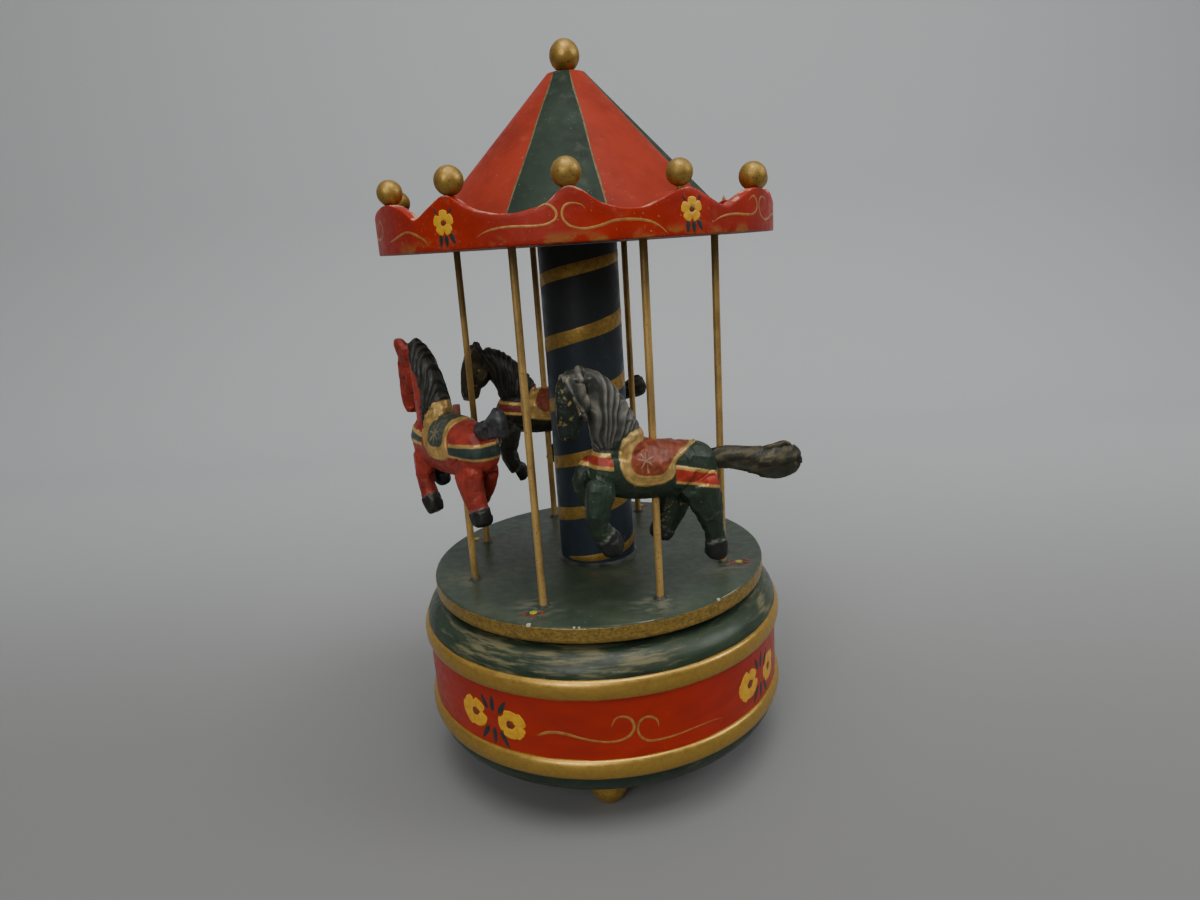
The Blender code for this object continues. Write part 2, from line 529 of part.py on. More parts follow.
for name, horse in HORSES.items():
    material, head = horse["paint"], horse["head"]
    body = loft(name + "_body", horse["trunk"], HORSE_SIDES, material)
    limbs = {limb: loft(f"{name}_{limb}", horse[limb], sides, material)
             for limb, sides in LIMB_SIDES.items()}
    for ear, side in (("left_ear", 1), ("right_ear", -1)):
        limbs[ear] = loft(f"{name}_{ear}", ear_stations(head, side), 6, material)
    for limb, tool in limbs.items():
        if limb in ("head", "jaw", "left_ear", "right_ear"):
            turn_at_poll(tool, head, horse["head_turn"])
        place_on_pole(tool, horse)
        boolean(body, tool, "UNION")
    bore = rod_cutter(name + "_bore", [(0, 0, 0)], POLE_RADIUS + GAP, -20 * MM, 60 * MM)
    seat = [(x + 0.3 * (index == 0), z, depth + 0.3, width + 0.3, y)
            for index, (x, z, depth, width, y) in enumerate(horse["tail"][:TAIL_SEAT_STATIONS])]
    tail_seat = loft(name + "_tail_seat", seat, 8, material)
    for tool in (bore, tail_seat):
        place_on_pole(tool, horse)
        boolean(body, tool, "DIFFERENCE")
    place_on_pole(body, horse)
    tail = loft(name + "_tail", horse["tail"], 8, BLACK)
    place_on_pole(tail, horse)
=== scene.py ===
import math

import bmesh
import bpy
import numpy as np
from mathutils import Matrix, Vector, noise


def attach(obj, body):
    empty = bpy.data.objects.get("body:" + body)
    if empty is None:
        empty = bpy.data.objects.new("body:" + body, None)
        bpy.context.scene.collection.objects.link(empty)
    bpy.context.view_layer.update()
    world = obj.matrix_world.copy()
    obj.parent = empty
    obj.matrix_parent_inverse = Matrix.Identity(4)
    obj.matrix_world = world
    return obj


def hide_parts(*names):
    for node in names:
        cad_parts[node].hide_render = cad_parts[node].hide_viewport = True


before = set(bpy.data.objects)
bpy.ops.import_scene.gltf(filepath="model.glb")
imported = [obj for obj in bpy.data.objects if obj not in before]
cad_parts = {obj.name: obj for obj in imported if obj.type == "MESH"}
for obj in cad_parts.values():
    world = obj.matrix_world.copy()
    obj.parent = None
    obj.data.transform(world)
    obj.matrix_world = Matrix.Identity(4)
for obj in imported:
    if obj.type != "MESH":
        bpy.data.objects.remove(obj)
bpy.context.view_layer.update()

# Base drum
# The housing of the music movement, turned from one block of soft wood: a rounded shoulder, a straight
# band between two half-round beads, and a rounded underside with a recess for the bottom board.
MM = 0.001
BAND_RADIUS = 79.0
BAND_MIDDLE = 47.0
BEAD_RADIUS = 80.8
BEAD_LEVELS = (30.3, 64.2)
BEAD_HALF_HEIGHT = 4.1
SHOULDER_REACH = 14.0
UNDERSIDE_REACH = 14.0
DRUM_TOP = 78.4
DRUM_BOTTOM = 15.0
SPINDLE_BORE = 2.8
SPINDLE_BORE_DEPTH = 10.7
SHOULDER_WEAR = (70.0, 77.8)
WEAR_RADIUS = 76.5
PAINT_OVERLAP = 0.15
PAINT_EDGE = 0.12
BOARD_RECESS = (42.3, 18.3)
TURNED_SIDES = 192


def deselect():
    if bpy.context.object and bpy.context.object.mode == "EDIT":
        bpy.ops.object.mode_set(mode="OBJECT")
    bpy.ops.object.select_all(action="DESELECT")


def polar(radius, degrees, height=0.0):
    """A point in metres, by its distance from the axis in mm and its angle from the front to the right."""
    angle = math.radians(degrees)
    return Vector((radius * math.sin(angle), -radius * math.cos(angle), height)) * MM


def arc(centre, reach, start, end, steps):
    """Points (radius, height) on an ellipse's arc; 0 degrees is outwards and 90 degrees is up."""
    turns = [math.radians(start + (end - start) * step / steps) for step in range(steps + 1)]
    return [(centre[0] + reach[0] * math.cos(t), centre[1] + reach[1] * math.sin(t)) for t in turns]


def take(*pieces):
    """Selects these pieces and nothing else."""
    deselect()
    for piece in pieces:
        piece.select_set(True)
    bpy.context.view_layer.objects.active = pieces[0]


def smooth_shade(piece, sharp_degrees=32):
    take(piece)
    bpy.ops.object.shade_smooth_by_angle(angle=math.radians(sharp_degrees))


def close_up(merge=1e-7):
    """In edit mode: merge doubles and turn all faces outwards."""
    bpy.ops.mesh.select_all(action="SELECT")
    bpy.ops.mesh.remove_doubles(threshold=merge)
    bpy.ops.mesh.normals_make_consistent(inside=False)
    bpy.ops.object.mode_set(mode="OBJECT")


def turn(name, profile, sides=TURNED_SIDES, spot=(0.0, 0.0), sharp_degrees=32):
    """Turned wood: a round end drawn out and resized along the profile (radius, height), top to bottom."""
    deselect()
    centre = (spot[0], spot[1], profile[0][1] * MM)
    bpy.ops.mesh.primitive_circle_add(vertices=sides, radius=profile[0][0] * MM, fill_type="NGON",
                                      location=centre)
    piece = bpy.context.object
    piece.name = piece.data.name = name
    bpy.ops.object.mode_set(mode="EDIT")
    bpy.ops.mesh.select_all(action="SELECT")
    for (radius, height), (next_radius, next_height) in zip(profile, profile[1:]):
        drop = (0, 0, (next_height - height) * MM)
        bpy.ops.mesh.extrude_region_move(TRANSFORM_OT_translate={"value": drop})
        ratio = next_radius / radius
        bpy.ops.transform.resize(value=(ratio, ratio, 1), center_override=(*spot, next_height * MM))
    close_up()
    bpy.ops.object.transform_apply(location=True, rotation=True, scale=True)
    smooth_shade(piece, sharp_degrees)
    return piece


class Finish:
    """A paint, gilding or wood finish: a material, with short ways to add its nodes."""

    def __init__(self, name, roughness=0.5, metallic=0.0, sheen=0.32):
        self.material = bpy.data.materials.new(name)
        self.material.use_nodes = True
        self.tree = self.material.node_tree
        self.shader = self.tree.nodes["Principled BSDF"]
        self.shader.inputs["Roughness"].default_value = roughness
        self.shader.inputs["Metallic"].default_value = metallic
        self.shader.inputs["Specular IOR Level"].default_value = sheen
        self.place = self.add("ShaderNodeTexCoord").outputs["Object"]
        self.axes = self.add("ShaderNodeSeparateXYZ", {0: self.place}).outputs

    def add(self, kind, sockets=None, **settings):
        node = self.tree.nodes.new(kind)
        for key, value in settings.items():
            setattr(node, key, value)
        for key, value in (sockets or {}).items():
            self.feed(node.inputs[key], value)
        return node

    def feed(self, socket, value):
        if isinstance(value, bpy.types.NodeSocket):
            self.tree.links.new(value, socket)
        else:
            socket.default_value = value

    def reckon(self, operation, a, b=0.0):
        return self.add("ShaderNodeMath", {0: a, 1: b}, operation=operation).outputs[0]

    def times(self, a, b):
        return self.reckon("MULTIPLY", a, b)

    def plus(self, a, b):
        return self.reckon("ADD", a, b)

    def highest(self, a, b):
        return self.reckon("MAXIMUM", a, b)

    def mix(self, share, a, b, blend="MIX"):
        a, b = ((*colour, 1) if isinstance(colour, tuple) else colour for colour in (a, b))
        return self.add("ShaderNodeMix", {0: share, 6: a, 7: b}, data_type="RGBA",
                        blend_type=blend).outputs[2]

    def noise(self, scale, detail=3.0, stretch=(1, 1, 1), roughness=0.55):
        """Noise with features of about 1/scale metres."""
        mapping = self.add("ShaderNodeMapping", {0: self.place, 3: stretch})
        sockets = {"Vector": mapping.outputs[0], "Scale": scale, "Detail": detail, "Roughness": roughness}
        return self.add("ShaderNodeTexNoise", sockets).outputs[0]

    def fade(self, value, start, end, low=0.0, high=1.0):
        """From low to high as value goes from start to end, with soft ends."""
        sockets = {0: value, 1: start, 2: end, 3: low, 4: high}
        return self.add("ShaderNodeMapRange", sockets, interpolation_type="SMOOTHSTEP").outputs[0]

    def over(self, value, stretch, low=0.0, high=1.0):
        """From low to high as a length goes over a stretch given in mm."""
        return self.fade(value, stretch[0] * MM, stretch[1] * MM, low, high)

    def between(self, value, start, end, soft):
        """1 where value is from start to end, soft at both edges."""
        rise = self.fade(value, start - soft, start + soft)
        fall = self.fade(value, end - soft, end + soft, 1.0, 0.0)
        return self.times(rise, fall)

    def radius(self):
        across = self.times(self.axes[0], self.axes[0])
        along = self.times(self.axes[1], self.axes[1])
        return self.reckon("SQRT", self.plus(across, along))

    def steer(self, operation, sockets, output=0):
        """Reckons with places and directions."""
        return self.add("ShaderNodeVectorMath", sockets, operation=operation).outputs[output]

    def round_streaks(self, scale, along=0.2, detail=4.0):
        """Noise drawn out round the axis, as from a brush held against turning wood."""
        flat = self.steer("MULTIPLY", {0: self.place, 1: (1, 1, 0)})
        ring = self.steer("SCALE", {0: self.steer("NORMALIZE", {0: flat}), 3: 0.08 * along})
        across = self.reckon("SUBTRACT", self.radius(), self.axes[2])
        place = self.steer("ADD", {0: ring, 1: self.add("ShaderNodeCombineXYZ", {2: across}).outputs[0]})
        sockets = {"Vector": place, "Scale": scale, "Detail": detail, "Roughness": 0.6}
        return self.add("ShaderNodeTexNoise", sockets).outputs[0]

    def near(self, spot, reach):
        """1 at a spot (metres) and nothing beyond its reach."""
        return self.fade(self.steer("DISTANCE", {0: self.place, 1: tuple(spot)}, 1), 0.0, reach, 1.0, 0.0)

    def bearing(self):
        """The angle in degrees from the front towards the right."""
        forward = self.times(self.axes[1], -1.0)
        return self.reckon("DEGREES", self.reckon("ARCTAN2", self.axes[0], forward))

    def wobble(self, scale, detail, size):
        """Unevenness to either side of nothing."""
        return self.times(self.reckon("SUBTRACT", self.noise(scale, detail), 0.5), size)

    def patches(self, grain, limits, colour, other):
        """A colour with patches of another, by a noise (scale, detail) and the limits it fades between."""
        return self.mix(self.fade(self.noise(*grain), *limits), colour, other)

    def uneven(self, scale, low, high):
        """A value that wanders between two limits, as the gloss of brushed paint does."""
        return self.fade(self.noise(scale), 0.3, 0.7, low, high)

    def bump(self, height, depth, strength=0.5):
        """Fine relief of about this depth in mm."""
        node = self.add("ShaderNodeBump", {"Height": height, "Distance": depth * MM, "Strength": strength})
        self.feed(self.shader.inputs["Normal"], node.outputs[0])

    def done(self, colour, roughness=None, metallic=None):
        self.feed(self.shader.inputs["Base Color"], colour)
        if roughness is not None:
            self.feed(self.shader.inputs["Roughness"], roughness)
        if metallic is not None:
            self.feed(self.shader.inputs["Metallic"], metallic)
        return self.material


RED = (0.380, 0.020, 0.006)
RED_DEEP = (0.270, 0.014, 0.005)
RED_WORN = (0.40, 0.085, 0.035)
GREEN = (0.024, 0.043, 0.022)
GREEN_DEEP = (0.012, 0.022, 0.014)
GOLD = (0.560, 0.345, 0.080)
GOLD_DULL = (0.380, 0.230, 0.055)
GOLD_DARK = (0.110, 0.075, 0.024)
NAVY = (0.013, 0.020, 0.029)
RUBBED = (0.155, 0.140, 0.072)
WORN_SHOULDER = ((-42, 73.5, 22), (-33, 74.5, 19), (-16, 73.5, 20), (-5, 73.5, 19), (9, 73, 15),
                 (62, 74, 16), (150, 74, 22), (-120, 74, 20))
GREEN_HAZED = (0.060, 0.070, 0.045)
DUST = (0.24, 0.235, 0.19)


def gilding(finish, wear=1.0):
    """Bronze paint's colour: soft brighter and duller patches with a few fine pits."""
    patches = finish.noise(420, 5)
    pits = finish.noise(1500, 4)
    colour = finish.mix(finish.fade(patches, 0.36, 0.68, 0.0, wear), GOLD, GOLD_DULL)
    colour = finish.mix(finish.fade(pits, 0.54, 0.70, 0.0, 0.8 * wear), colour, GOLD_DARK)
    return colour


def drum_finish():
    finish = Finish("drum_paint")
    height = finish.axes[2]
    level = finish.plus(height, finish.wobble(90, 2, 1.1 * MM))
    low, high = (value * MM for value in BEAD_LEVELS)
    half = (BEAD_HALF_HEIGHT + PAINT_OVERLAP) * MM
    soft = PAINT_EDGE * MM
    gold = finish.highest(finish.between(level, low - half, low + half, soft),
                          finish.between(level, high - half, high + half, soft))
    red = finish.between(level, low, high, soft)
    streak = finish.noise(60, 4, (1, 1, 3))
    red_colour = finish.mix(finish.fade(streak, 0.30, 0.75, 0.1, 0.8), RED, RED_DEEP)
    red_colour = finish.patches((900, 2), (0.70, 0.80, 0.0, 0.6), red_colour, RED_WORN)
    green_colour = finish.patches((70, 4, (1, 1, 3)), (0.35, 0.7), GREEN, GREEN_DEEP)
    shoulder = finish.between(height, *(level * MM for level in SHOULDER_WEAR), 1.4 * MM)
    scuffs = finish.fade(finish.round_streaks(430, 0.16), 0.53, 0.66)
    side = finish.fade(finish.noise(24, 2), 0.38, 0.60, 0.15, 0.8)
    rubbed = finish.times(finish.times(shoulder, scuffs), side)
    haze = finish.times(shoulder, finish.fade(finish.round_streaks(120, 0.3), 0.40, 0.70, 0.0, 0.5))
    worn_spots = 0.0
    for degrees, at, reach in WORN_SHOULDER:
        worn_spots = finish.highest(worn_spots, finish.near(polar(WEAR_RADIUS, degrees, at), reach * MM))
    worn_off = finish.plus(finish.round_streaks(420, 0.17, 7), finish.times(worn_spots, 0.20))
    rubbed = finish.highest(rubbed, finish.times(finish.fade(worn_off, 0.58, 0.80), 0.9))
    green_colour = finish.mix(haze, green_colour, GREEN_HAZED)
    green_colour = finish.mix(rubbed, green_colour, RUBBED)
    green_colour = finish.patches((800, 3), (0.68, 0.78, 0.0, 0.7), green_colour, DUST)
    colour = finish.mix(red, green_colour, red_colour)
    colour = finish.mix(gold, colour, gilding(finish, 0.35))
    rough = finish.uneven(300, 0.30, 0.42)
    rough = finish.plus(rough, finish.times(rubbed, 0.2))
    finish.bump(finish.noise(420, 3, (1, 1, 2)), 0.05, 0.2)
    return finish.done(colour, rough, finish.times(gold, 0.85))


def settle(piece, body, slot, material, *nodes):
    """Gives a finished piece its finish, its body and the CAD nodes that it stands for."""
    piece.data.materials.clear()
    piece.data.materials.append(material)
    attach(piece, body)
    if nodes:
        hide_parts(*nodes)
    return piece


shoulder_foot = BEAD_LEVELS[1] + BEAD_HALF_HEIGHT
underside_head = BEAD_LEVELS[0] - BEAD_HALF_HEIGHT
bead_reach = (BEAD_RADIUS - BAND_RADIUS, BEAD_HALF_HEIGHT)
profile = [(SPINDLE_BORE, DRUM_TOP - SPINDLE_BORE_DEPTH), (SPINDLE_BORE, DRUM_TOP),
           (BAND_RADIUS - 2 * SHOULDER_REACH, DRUM_TOP)]
profile += arc((BAND_RADIUS - SHOULDER_REACH, shoulder_foot),
               (SHOULDER_REACH, DRUM_TOP - shoulder_foot), 90, 0, 16)
profile += arc((BAND_RADIUS, BEAD_LEVELS[1]), bead_reach, 72, -84, 14)
profile += [(BAND_RADIUS, level) for level in (BEAD_LEVELS[1] - BEAD_HALF_HEIGHT, BAND_MIDDLE,
                                               BEAD_LEVELS[0] + BEAD_HALF_HEIGHT)]
profile += arc((BAND_RADIUS, BEAD_LEVELS[0]), bead_reach, 84, -72, 14)
profile += arc((BAND_RADIUS - UNDERSIDE_REACH, underside_head),
               (UNDERSIDE_REACH, underside_head - DRUM_BOTTOM), 0, -90, 14)
profile += [(BOARD_RECESS[0] + 3, DRUM_BOTTOM), (BOARD_RECESS[0], DRUM_BOTTOM), BOARD_RECESS]
settle(turn("drum", profile), "base", "red_paint", drum_finish(), "base_drum")

# Bottom board and feet
# A plain disc of wood let into the underside closes the housing, and three turned pegs, gilded like the
# beads, are glued under it. The board keeps its CAD form.
WOOD_PALE = (0.36, 0.215, 0.105)
WOOD_BROWN = (0.23, 0.125, 0.055)
WOOD_DIRTY = (0.12, 0.075, 0.04)


def bare_wood_finish():
    finish = Finish("bare_wood", 0.75)
    grain = finish.noise(55, 5, (1, 9, 9))
    colour = finish.mix(finish.fade(grain, 0.3, 0.7), WOOD_PALE, WOOD_BROWN)
    colour = finish.patches((400, 3), (0.55, 0.75), colour, WOOD_DIRTY)
    finish.bump(grain, 0.2)
    return finish.done(colour)


def gilt_finish(name="gilding", darkening=0.32):
    finish = Finish(name, metallic=0.7)
    rough = finish.uneven(420, 0.38, 0.54)
    finish.bump(finish.noise(900, 4), 0.14)
    colour = finish.mix(darkening, gilding(finish), GOLD_DARK)
    return finish.done(colour, rough)


def dress(node, material):
    """Gives its finish to a CAD node that keeps its form."""
    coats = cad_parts[node].data.materials
    coats.clear()
    coats.append(material)


WOOD_FINISH = bare_wood_finish()
GILT_FINISH = gilt_finish()
# Painted light: the feet's gilding leaves out the darkening, so they stay lighter in the shade under the
# drum.
FOOT_PAINTED_LIGHT_FINISH = gilt_finish("foot_gilding_painted_lighter", 0.0)
FOOT_CIRCLE = 56.5
FOOT_PROFILE = [(8.4, 14.7), (8.35, 11.0), (8.3, 7.5), (7.7, 5.6), (6.9, 4.0), (6.3, 2.9), (5.6, 2.0),
                (5.0, 1.3), (4.3, 0.7), (3.6, 0.2), (3.0, 0.0)]
FEET = {"foot_front": -2, "foot_back_right": 118, "foot_back_left": 238}
dress("bottom_board", WOOD_FINISH)
for foot, angle in FEET.items():
    spot = polar(FOOT_CIRCLE, angle)
    settle(turn(foot + "_peg", FOOT_PROFILE, 48, (spot.x, spot.y)), "base", "gold_paint", FOOT_PAINTED_LIGHT_FINISH, foot)

# Painted ornament of the base
# Thick enamel put on by hand with a small brush: pairs of yellow flowers with brown hearts and dark
# leaves, and between them two thin gold scrolls that curl towards each other.
YELLOW = (0.70, 0.37, 0.020)
HEART = (0.22, 0.032, 0.012)
LEAF = (0.030, 0.034, 0.028)
SCROLL = (0.44, 0.215, 0.055)
YELLOW_DEEP = (0.56, 0.27, 0.02)
HEART_DARK = (0.09, 0.03, 0.015)
LEAF_DARK = (0.018, 0.024, 0.022)
SCROLL_DARK = (0.30, 0.13, 0.035)
BASE_MOTIFS = (-36, 54, 144, -126)
BASE_FLOWERS = {
    (-8.8, 46.6): [(-12.6, 50.4), (-6.4, 50.4), (-4.9, 44.0), (-8.8, 41.9), (-13.0, 42.6), (-14.9, 46.3)],
    (9.3, 45.9): [(9.5, 50.2), (13.9, 48.6), (13.4, 42.9), (8.7, 41.5), (5.2, 45.5)],
}
BASE_LEAVES = [((-1.8, 50.1), (-4.6, 56.0)), ((0.8, 49.6), (1.1, 57.1)), ((3.8, 49.2), (7.8, 55.7)),
               ((-1.6, 42.5), (-5.9, 35.7)), ((1.1, 42.8), (0.9, 35.1)), ((4.0, 41.7), (7.9, 34.9))]
SCROLL_LEFT = [(20.7, 43.7), (25.9, 45.8), (32.1, 45.8), (37.9, 44.2), (44.3, 42.7), (50, 42.1),
               (54.2, 42.7), (57.3, 44.5), (58.8, 47.3), (58, 50.4), (56.4, 51.9), (54, 52.5), (51.7, 51.6),
               (49.9, 48.1)]
SCROLL_RIGHT = [(68.3, 45.6), (68, 48), (67.1, 49.5), (65.2, 50.7), (63.1, 50.8), (61.1, 49.5),
                (60.2, 47.2), (60.2, 45.1), (61.3, 42.7), (63.3, 41), (65.7, 40.3), (70.1, 40.2),
                (75.1, 40.3), (83.5, 40.9), (92.5, 40.8), (97.4, 39.7)]
PETAL_SIZE, RING_RADIUS, RING_WIDTH, HEART_SIZE, LEAF_WIDTH = 2.6, 3.3, 1.6, 2.0, 1.2
LEFT_WIDTHS = [0.95, 0.75, 0.5, 0.42, 0.5, 0.6, 0.55, 0.5, 0.42, 0.3]
RIGHT_WIDTHS = [0.3, 0.5, 0.55, 0.5, 0.42, 0.5, 0.46, 0.4, 0.3, 0.12]
STROKE_ROUND = 8


def curve_through(points, steps):
    """Evenly shared points on a smooth line through the given ones."""
    points = np.array(points, float)
    padded = np.vstack([2 * points[0] - points[1], points, 2 * points[-1] - points[-2]])
    made = []
    for at in np.linspace(0, len(points) - 1 - 1e-9, steps):
        i, t = int(at), at - int(at)
        a, b, c, d = padded[i:i + 4]
        made.append(0.5 * (2 * b + (c - a) * t + (2 * a - 5 * b + 4 * c - d) * t * t
                           + (3 * b - a - 3 * c + d) * t ** 3))
    return np.array(made)


def on_drum(points, lift):
    """Wraps flat points (mm along, mm up) round the band; lift is the paint's height."""
    angle = points[:, 0] / BAND_RADIUS
    radius = BAND_RADIUS + lift
    return np.stack([radius * np.sin(angle), -radius * np.cos(angle), points[:, 1]], 1)


def brush_stroke(path, widths, surface, thick=0.10, steps=26):
    """A stroke of paint: a sheet rolled into a flat closed ridge along the path, wrapped on the surface."""
    deselect()
    bpy.ops.mesh.primitive_grid_add(x_subdivisions=steps - 1, y_subdivisions=STROKE_ROUND, size=2)
    stroke = bpy.context.object
    line = curve_through(path, steps)
    along = np.gradient(line, axis=0)
    along /= np.linalg.norm(along, axis=1)[:, None] + 1e-9
    across = np.stack([-along[:, 1], along[:, 0]], 1)
    share = np.linspace(0, 1, steps)
    half = np.interp(share, np.linspace(0, 1, len(widths)), widths)
    half *= np.sqrt(np.clip(1 - np.abs(2 * share - 1) ** 6, 0, 1))
    flat = np.array([v.co for v in stroke.data.vertices])
    i = np.rint((flat[:, 0] + 1) / 2 * (steps - 1)).astype(int)
    turned = (flat[:, 1] + 1) * math.pi
    points = line[i] + across[i] * (half[i] * np.cos(turned))[:, None]
    lift = thick * np.sin(turned) * np.minimum(1, half[i] * 2)
    lift[(i == 0) | (i == steps - 1)] = 0
    place = surface(points, lift) * MM
    stroke.data.vertices.foreach_set("co", place.astype(np.float32).ravel())
    bpy.ops.object.mode_set(mode="EDIT")
    close_up(2e-6)
    return stroke


def put_together(name, parts, sharp_degrees=60):
    """Joins parts into one piece."""
    take(*parts)
    if len(parts) > 1:
        bpy.ops.object.join()
    piece = bpy.context.object
    piece.name = piece.data.name = name
    bpy.ops.object.transform_apply(location=True, rotation=True, scale=True)
    smooth_shade(piece, sharp_degrees)
    return piece


def enamel(name, colour, dark, roughness=0.38, metallic=0.0):
    finish = Finish(name, roughness, metallic)
    mottled = finish.patches((420, 3), (0.35, 0.72), colour, dark)
    finish.bump(finish.noise(1300, 3), 0.06)
    return finish.done(mottled)


def petal(heart, centre, size, surface, plump=1.2):
    """A fat drop of paint from the flower's heart outwards."""
    heart, centre = np.array(heart, float), np.array(centre, float)
    away = (centre - heart) / np.linalg.norm(centre - heart)
    path = [heart + away * size * 0.60, centre - away * size * 0.3, centre + away * size * 0.72]
    widths = [size * 0.6, size * plump * 0.92, size * plump, size * plump * 0.92]
    return brush_stroke(path, widths, surface, thick=0.16, steps=14)


def ring(centre, radius, width, surface):
    """A round stroke that joins the petals."""
    turns = np.linspace(0, 2 * math.pi, 13)
    path = np.array(centre, float) + radius * np.stack([np.cos(turns), np.sin(turns)], 1)
    return brush_stroke(path, [width] * 4, surface, thick=0.15, steps=30)


def leaf(start, tip, width, surface):
    start, tip = np.array(start, float), np.array(tip, float)
    return brush_stroke([start, start * 0.5 + tip * 0.5, tip], [width * 0.6, width, width * 0.8, 0.3],
                        surface, steps=14)


def dab(u, v, size, surface, lean=0.3):
    """A round dab, a little drawn out."""
    return brush_stroke([(u - size, v - size * lean), (u, v), (u + size, v + size * lean)],
                        [size * 0.7, size, size * 0.7], surface, thick=0.22, steps=12)


YELLOW_FINISH = enamel("yellow_enamel", YELLOW, YELLOW_DEEP)
HEART_FINISH = enamel("brown_enamel", HEART, HEART_DARK)
LEAF_FINISH = enamel("dark_leaf_enamel", LEAF, LEAF_DARK)
SCROLL_FINISH = enamel("gold_line_paint", SCROLL, SCROLL_DARK, 0.42, 0.3)
petals, hearts, leaves, scrolls = [], [], [], []
millimetres_per_degree = math.radians(BAND_RADIUS)
for angle in BASE_MOTIFS:
    middle = np.array([angle * millimetres_per_degree, 0.0])
    for heart, centres in BASE_FLOWERS.items():
        petals += [petal(middle + heart, middle + centre, PETAL_SIZE, on_drum) for centre in centres]
        petals.append(ring(middle + heart, RING_RADIUS, RING_WIDTH, on_drum))
        hearts.append(dab(middle[0] + heart[0], heart[1], HEART_SIZE, on_drum))
    leaves += [leaf(middle + start, middle + tip, LEAF_WIDTH, on_drum) for start, tip in BASE_LEAVES]
    for line, widths, steps in ((SCROLL_LEFT, LEFT_WIDTHS, 60), (SCROLL_RIGHT, RIGHT_WIDTHS, 66)):
        scrolls.append(brush_stroke([middle + point for point in line], widths, on_drum, 0.08, steps))
settle(put_together("base_flower_petals", petals), "base", "gold_paint", YELLOW_FINISH)
settle(put_together("base_flower_hearts", hearts), "base", "red_paint", HEART_FINISH)
settle(put_together("base_flower_leaves", leaves), "base", "green_paint", LEAF_FINISH)
settle(put_together("base_scrolls", scrolls), "base", "gold_paint", SCROLL_FINISH)

# Drive spindle
# The output shaft of the clockwork, plain drawn steel, seen only in the gap under the platform. The CAD
# solid is right as it is and gets its finish here.
STEEL = (0.55, 0.55, 0.56)
STEEL_DULL = (0.40, 0.39, 0.38)
steel = Finish("drawn_steel", 0.32, 1.0)
steel_colour = steel.patches((300, 2, (1, 1, 0.1)), (0.4, 0.6), STEEL, STEEL_DULL)
dress("drive_spindle", steel.done(steel_colour))

# Platform
# A flat turned disc, dark green on top with a gilded edge, that turns with all above it. It keeps its
# CAD form with the pole sockets; wear shows as a pale line and chips along its top edge.
PLATFORM_TOP = 87.5
POLE_CIRCLE = 58.0
POLE_ANGLES = (-112.5, -68.1, -23.4, 23.7, 68.4, 157.1, -158.2)
PLATFORM_GREEN = (0.046, 0.066, 0.041)
PLATFORM_GREEN_DEEP = (0.033, 0.051, 0.033)
PLATFORM_SMEARED = (0.150, 0.150, 0.110)
EDGE_GOLD_DIRTY = (0.13, 0.10, 0.030)
BARE_EDGE = (0.40, 0.37, 0.27)
CHIPS = ((-22.5, 1.7), (-8.5, 0.8), (-7.0, 0.7), (38.5, 1.3))
CHIP_RADIUS = 73.4
CHIP_LEVEL = 87.2
PALE_EDGE = (5.0, 62.0)
GILT_EDGE_TOP = (86.7, 86.9)
GILT_EDGE_INNER = (72.2, 72.8)
RUBBED_EDGE = ((73.4, 74.0), (87.1, 88.0))
SMEAR_REACH = 17.0


def platform_finish():
    finish = Finish("platform_paint")
    height = finish.axes[2]
    radius = finish.radius()
    edge = finish.over(finish.plus(height, finish.wobble(120, 3, 0.8 * MM)), GILT_EDGE_TOP, 1.0, 0.0)
    gold = finish.times(edge, finish.over(radius, GILT_EDGE_INNER))
    green = finish.patches((45, 4), (0.35, 0.7), PLATFORM_GREEN, PLATFORM_GREEN_DEEP)
    haze = finish.fade(finish.noise(38, 5, (1, 1, 1), 0.62), 0.50, 0.80, 0.0, 0.55)
    for angle in POLE_ANGLES:
        around = finish.near(polar(POLE_CIRCLE + 2.5, angle - 2.5, PLATFORM_TOP), SMEAR_REACH * MM)
        smear = finish.fade(finish.noise(150, 5, (1, 2.2, 1)), 0.42, 0.62, 0.0, 1.0)
        haze = finish.highest(haze, finish.times(around, smear))
    green = finish.mix(haze, green, PLATFORM_SMEARED)
    green = finish.patches((1100, 2), (0.70, 0.78), green, DUST)
    gilt = finish.patches((600, 5, (1, 1, 2)), (0.36, 0.70, 0.3, 0.75), gilding(finish), EDGE_GOLD_DIRTY)
    colour = finish.mix(gold, green, gilt)
    rubbed_edge = finish.times(finish.between(radius, *(place * MM for place in RUBBED_EDGE[0]), 0.12 * MM),
                               finish.between(height, *(level * MM for level in RUBBED_EDGE[1]), 0.10 * MM))
    patchy = finish.fade(finish.noise(110, 4), 0.42, 0.62, 0.05, 0.7)
    front_right = finish.between(finish.bearing(), *PALE_EDGE, 12.0)
    chips = finish.times(rubbed_edge, finish.times(patchy, front_right))
    for angle, reach in CHIPS:
        spot = finish.near(polar(CHIP_RADIUS, angle, CHIP_LEVEL), reach * MM)
        chips = finish.highest(chips, finish.fade(finish.times(spot, finish.noise(900, 3)), 0.16, 0.24))
    colour = finish.mix(chips, colour, BARE_EDGE)
    rough = finish.plus(finish.uneven(240, 0.30, 0.44), finish.times(haze, 0.35))
    finish.bump(finish.noise(420, 4), 0.14)
    return finish.done(colour, rough, finish.times(gold, 0.6))


dress("platform", platform_finish())

# Flowers on the platform
# A small flower of a yellow dot and red petals near the edge, at every other pole.
LIME = (0.42, 0.42, 0.03)
LIME_DEEP = (0.30, 0.30, 0.03)
FADED_RED = (0.26, 0.035, 0.018)
FADED_RED_DEEP = (0.13, 0.022, 0.014)
PLATFORM_FLOWERS = {(66.3, -115.9): 3, (64.0, -24.7): 3, (64.6, 69.9): 5, (67.6, 159): 4}


def on_platform(points, lift):
    return np.stack([points[:, 0], points[:, 1], PLATFORM_TOP + lift], 1)


